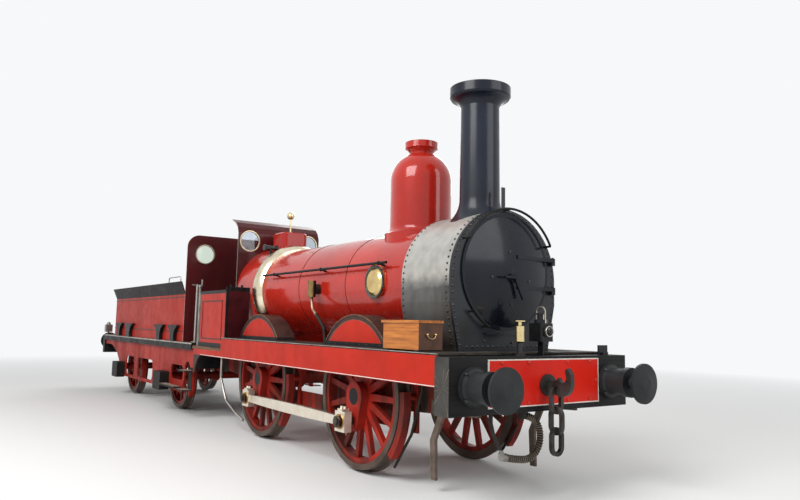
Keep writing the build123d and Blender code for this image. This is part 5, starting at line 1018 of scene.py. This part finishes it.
# Cab: two dial gauges with blank faces and a handwheel on the backhead
cabFittings = {
    "gauges": ((0.455, -0.33, 2.42), (0.455, 0.33, 2.42)), "gaugeRadius": 0.075, "gaugeDeep": 0.045,
    "bezel": 0.010, "lip": 0.003, "sunk": 0.006, "dialThick": 0.004, "dialIn": 0.012,
    "stemRadius": 0.009, "stemLong": 0.12, "stemAhead": 0.03, "stemDrop": 0.09,
    "wheel": (0.430, -0.40, 1.55), "wheelRadius": 0.07, "wheelWire": 0.008, "spokes": 5, "spokeRadius": 0.005,
    "hubRadius": 0.016, "hubLong": 0.09, "hubAhead": 0.03,
}


def makeCabFittings(c):
    for place in c["gauges"]:
        gauge = roundBar("cabGauge", place, "x", c["gaugeRadius"], c["gaugeDeep"], 48)
        selectFaces(gauge, lambda centre, normal: normal.x < -0.9)
        bpy.ops.mesh.inset(thickness=c["bezel"], depth=0)
        bpy.ops.mesh.inset(thickness=c["lip"], depth=-c["sunk"])
        finished(softened(gauge, 0.002), "engine", "polishedBrass")
        dial = (place[0] - c["gaugeDeep"] / 2 + c["dialThick"], place[1], place[2])
        face = roundBar("gaugeFace", dial, "x", c["gaugeRadius"] - c["dialIn"], c["dialThick"], 48)
        finished(softened(face, 0.001, 1), "engine", "dialWhite")
        stem = roundBar("gaugeStem", (place[0] + c["stemAhead"], place[1], place[2] - c["stemDrop"]), "z",
                        c["stemRadius"], c["stemLong"], 16)
        finished(softened(stem, 0.002), "engine", "brownBrass")
    middle = Vector(c["wheel"])
    nothingSelected()
    bpy.ops.mesh.primitive_torus_add(major_radius=c["wheelRadius"], minor_radius=c["wheelWire"],
                                     major_segments=36, minor_segments=10, location=middle,
                                     rotation=turnTo["x"])
    rim = added("handwheel")
    spoke = roundBar("spoke", (0, 0, c["wheelRadius"] / 2), "z", c["spokeRadius"], c["wheelRadius"], 10)
    turns = [2 * pi * step / c["spokes"] for step in range(c["spokes"])]
    spokes = copiesAt(spoke, [(middle, (0, cos(turn), sin(turn))) for turn in turns], "spokes")
    hub = roundBar("wheelHub", middle + Vector((c["hubAhead"], 0, 0)), "x", c["hubRadius"], c["hubLong"], 16)
    finished(joined([rim, spokes, softened(hub, 0.003)], "handwheel"), "engine", "wornSteel")
    nothingSelected()


makeCabFittings(cabFittings)
print("cab fitted")


# Studio: pale floor, soft key from the driver's right, wide fill and a pale sky
studio = {
    "floorColour": (0.80, 0.80, 0.79, 1),
    "floorSize": 160.0,
    "floorFades": (8.0, 20.0),
    "skyColour": (0.93, 0.94, 0.95, 1),
    "skyLight": 0.42,
    "skySeen": 1.0,
    "lamps": [
        # place, aim, size in metres, watts
        ((6.0, -12.0, 11.0), (0.5, 0.0, 1.5), 9.0, 2300),
        ((16.0, 4.0, 8.0), (3.0, 0.0, 1.5), 8.0, 600),
        ((-8.0, 10.0, 10.0), (-2.0, 0.0, 1.5), 9.0, 700),
    ],
}


def seenStrength(tree, s):
    # white where the camera, a reflection or glass looks at it, dimmer as light on the object
    path = tree.nodes.new("ShaderNodeLightPath")
    seen = times(tree, path.outputs["Is Camera Ray"], path.outputs["Is Glossy Ray"], "MAXIMUM")
    seen = times(tree, seen, path.outputs["Is Transmission Ray"], "MAXIMUM")
    return ramp(tree, seen, 0.0, 1.0, s["skyLight"], s["skySeen"])


def makeStudio(s):
    bpy.ops.object.select_all(action="DESELECT")
    bpy.ops.mesh.primitive_plane_add(size=s["floorSize"], location=(0, 0, 0))
    floor = bpy.context.object
    floor.name = "studioFloor"
    material, tree, shader = newMaterial("studioFloor")
    shader.inputs["Base Color"].default_value = s["floorColour"]
    shader.inputs["Roughness"].default_value = 0.9
    reach = addNode(tree, "ShaderNodeVectorMath", {0: objectPoint(tree)}, operation="LENGTH")
    far = ramp(tree, reach.outputs["Value"], *s["floorFades"])
    plain = addNode(tree, "ShaderNodeEmission", {"Color": s["skyColour"], "Strength": seenStrength(tree, s)})
    both = tree.nodes.new("ShaderNodeMixShader")
    tree.links.new(far, both.inputs[0])
    tree.links.new(shader.outputs[0], both.inputs[1])
    tree.links.new(plain.outputs[0], both.inputs[2])
    tree.links.new(both.outputs[0], tree.nodes["Material Output"].inputs["Surface"])
    floor.data.materials.append(material)
    world = bpy.data.worlds.new("studio")
    scene.world = world
    world.use_nodes = True
    tree = world.node_tree
    tree.nodes.clear()
    sky = addNode(tree, "ShaderNodeBackground", {"Color": s["skyColour"], "Strength": seenStrength(tree, s)})
    out = tree.nodes.new("ShaderNodeOutputWorld")
    tree.links.new(sky.outputs[0], out.inputs["Surface"])
    for number, (place, aim, size, watts) in enumerate(s["lamps"]):
        data = bpy.data.lights.new("softLamp%d" % number, "AREA")
        data.size = size
        data.energy = watts
        lampObject = bpy.data.objects.new("softLamp%d" % number, data)
        scene.collection.objects.link(lampObject)
        lampObject.location = place
        lampObject.rotation_euler = (Vector(aim) - Vector(place)).to_track_quat("-Z", "Y").to_euler()


makeStudio(studio)
print("studio lit")
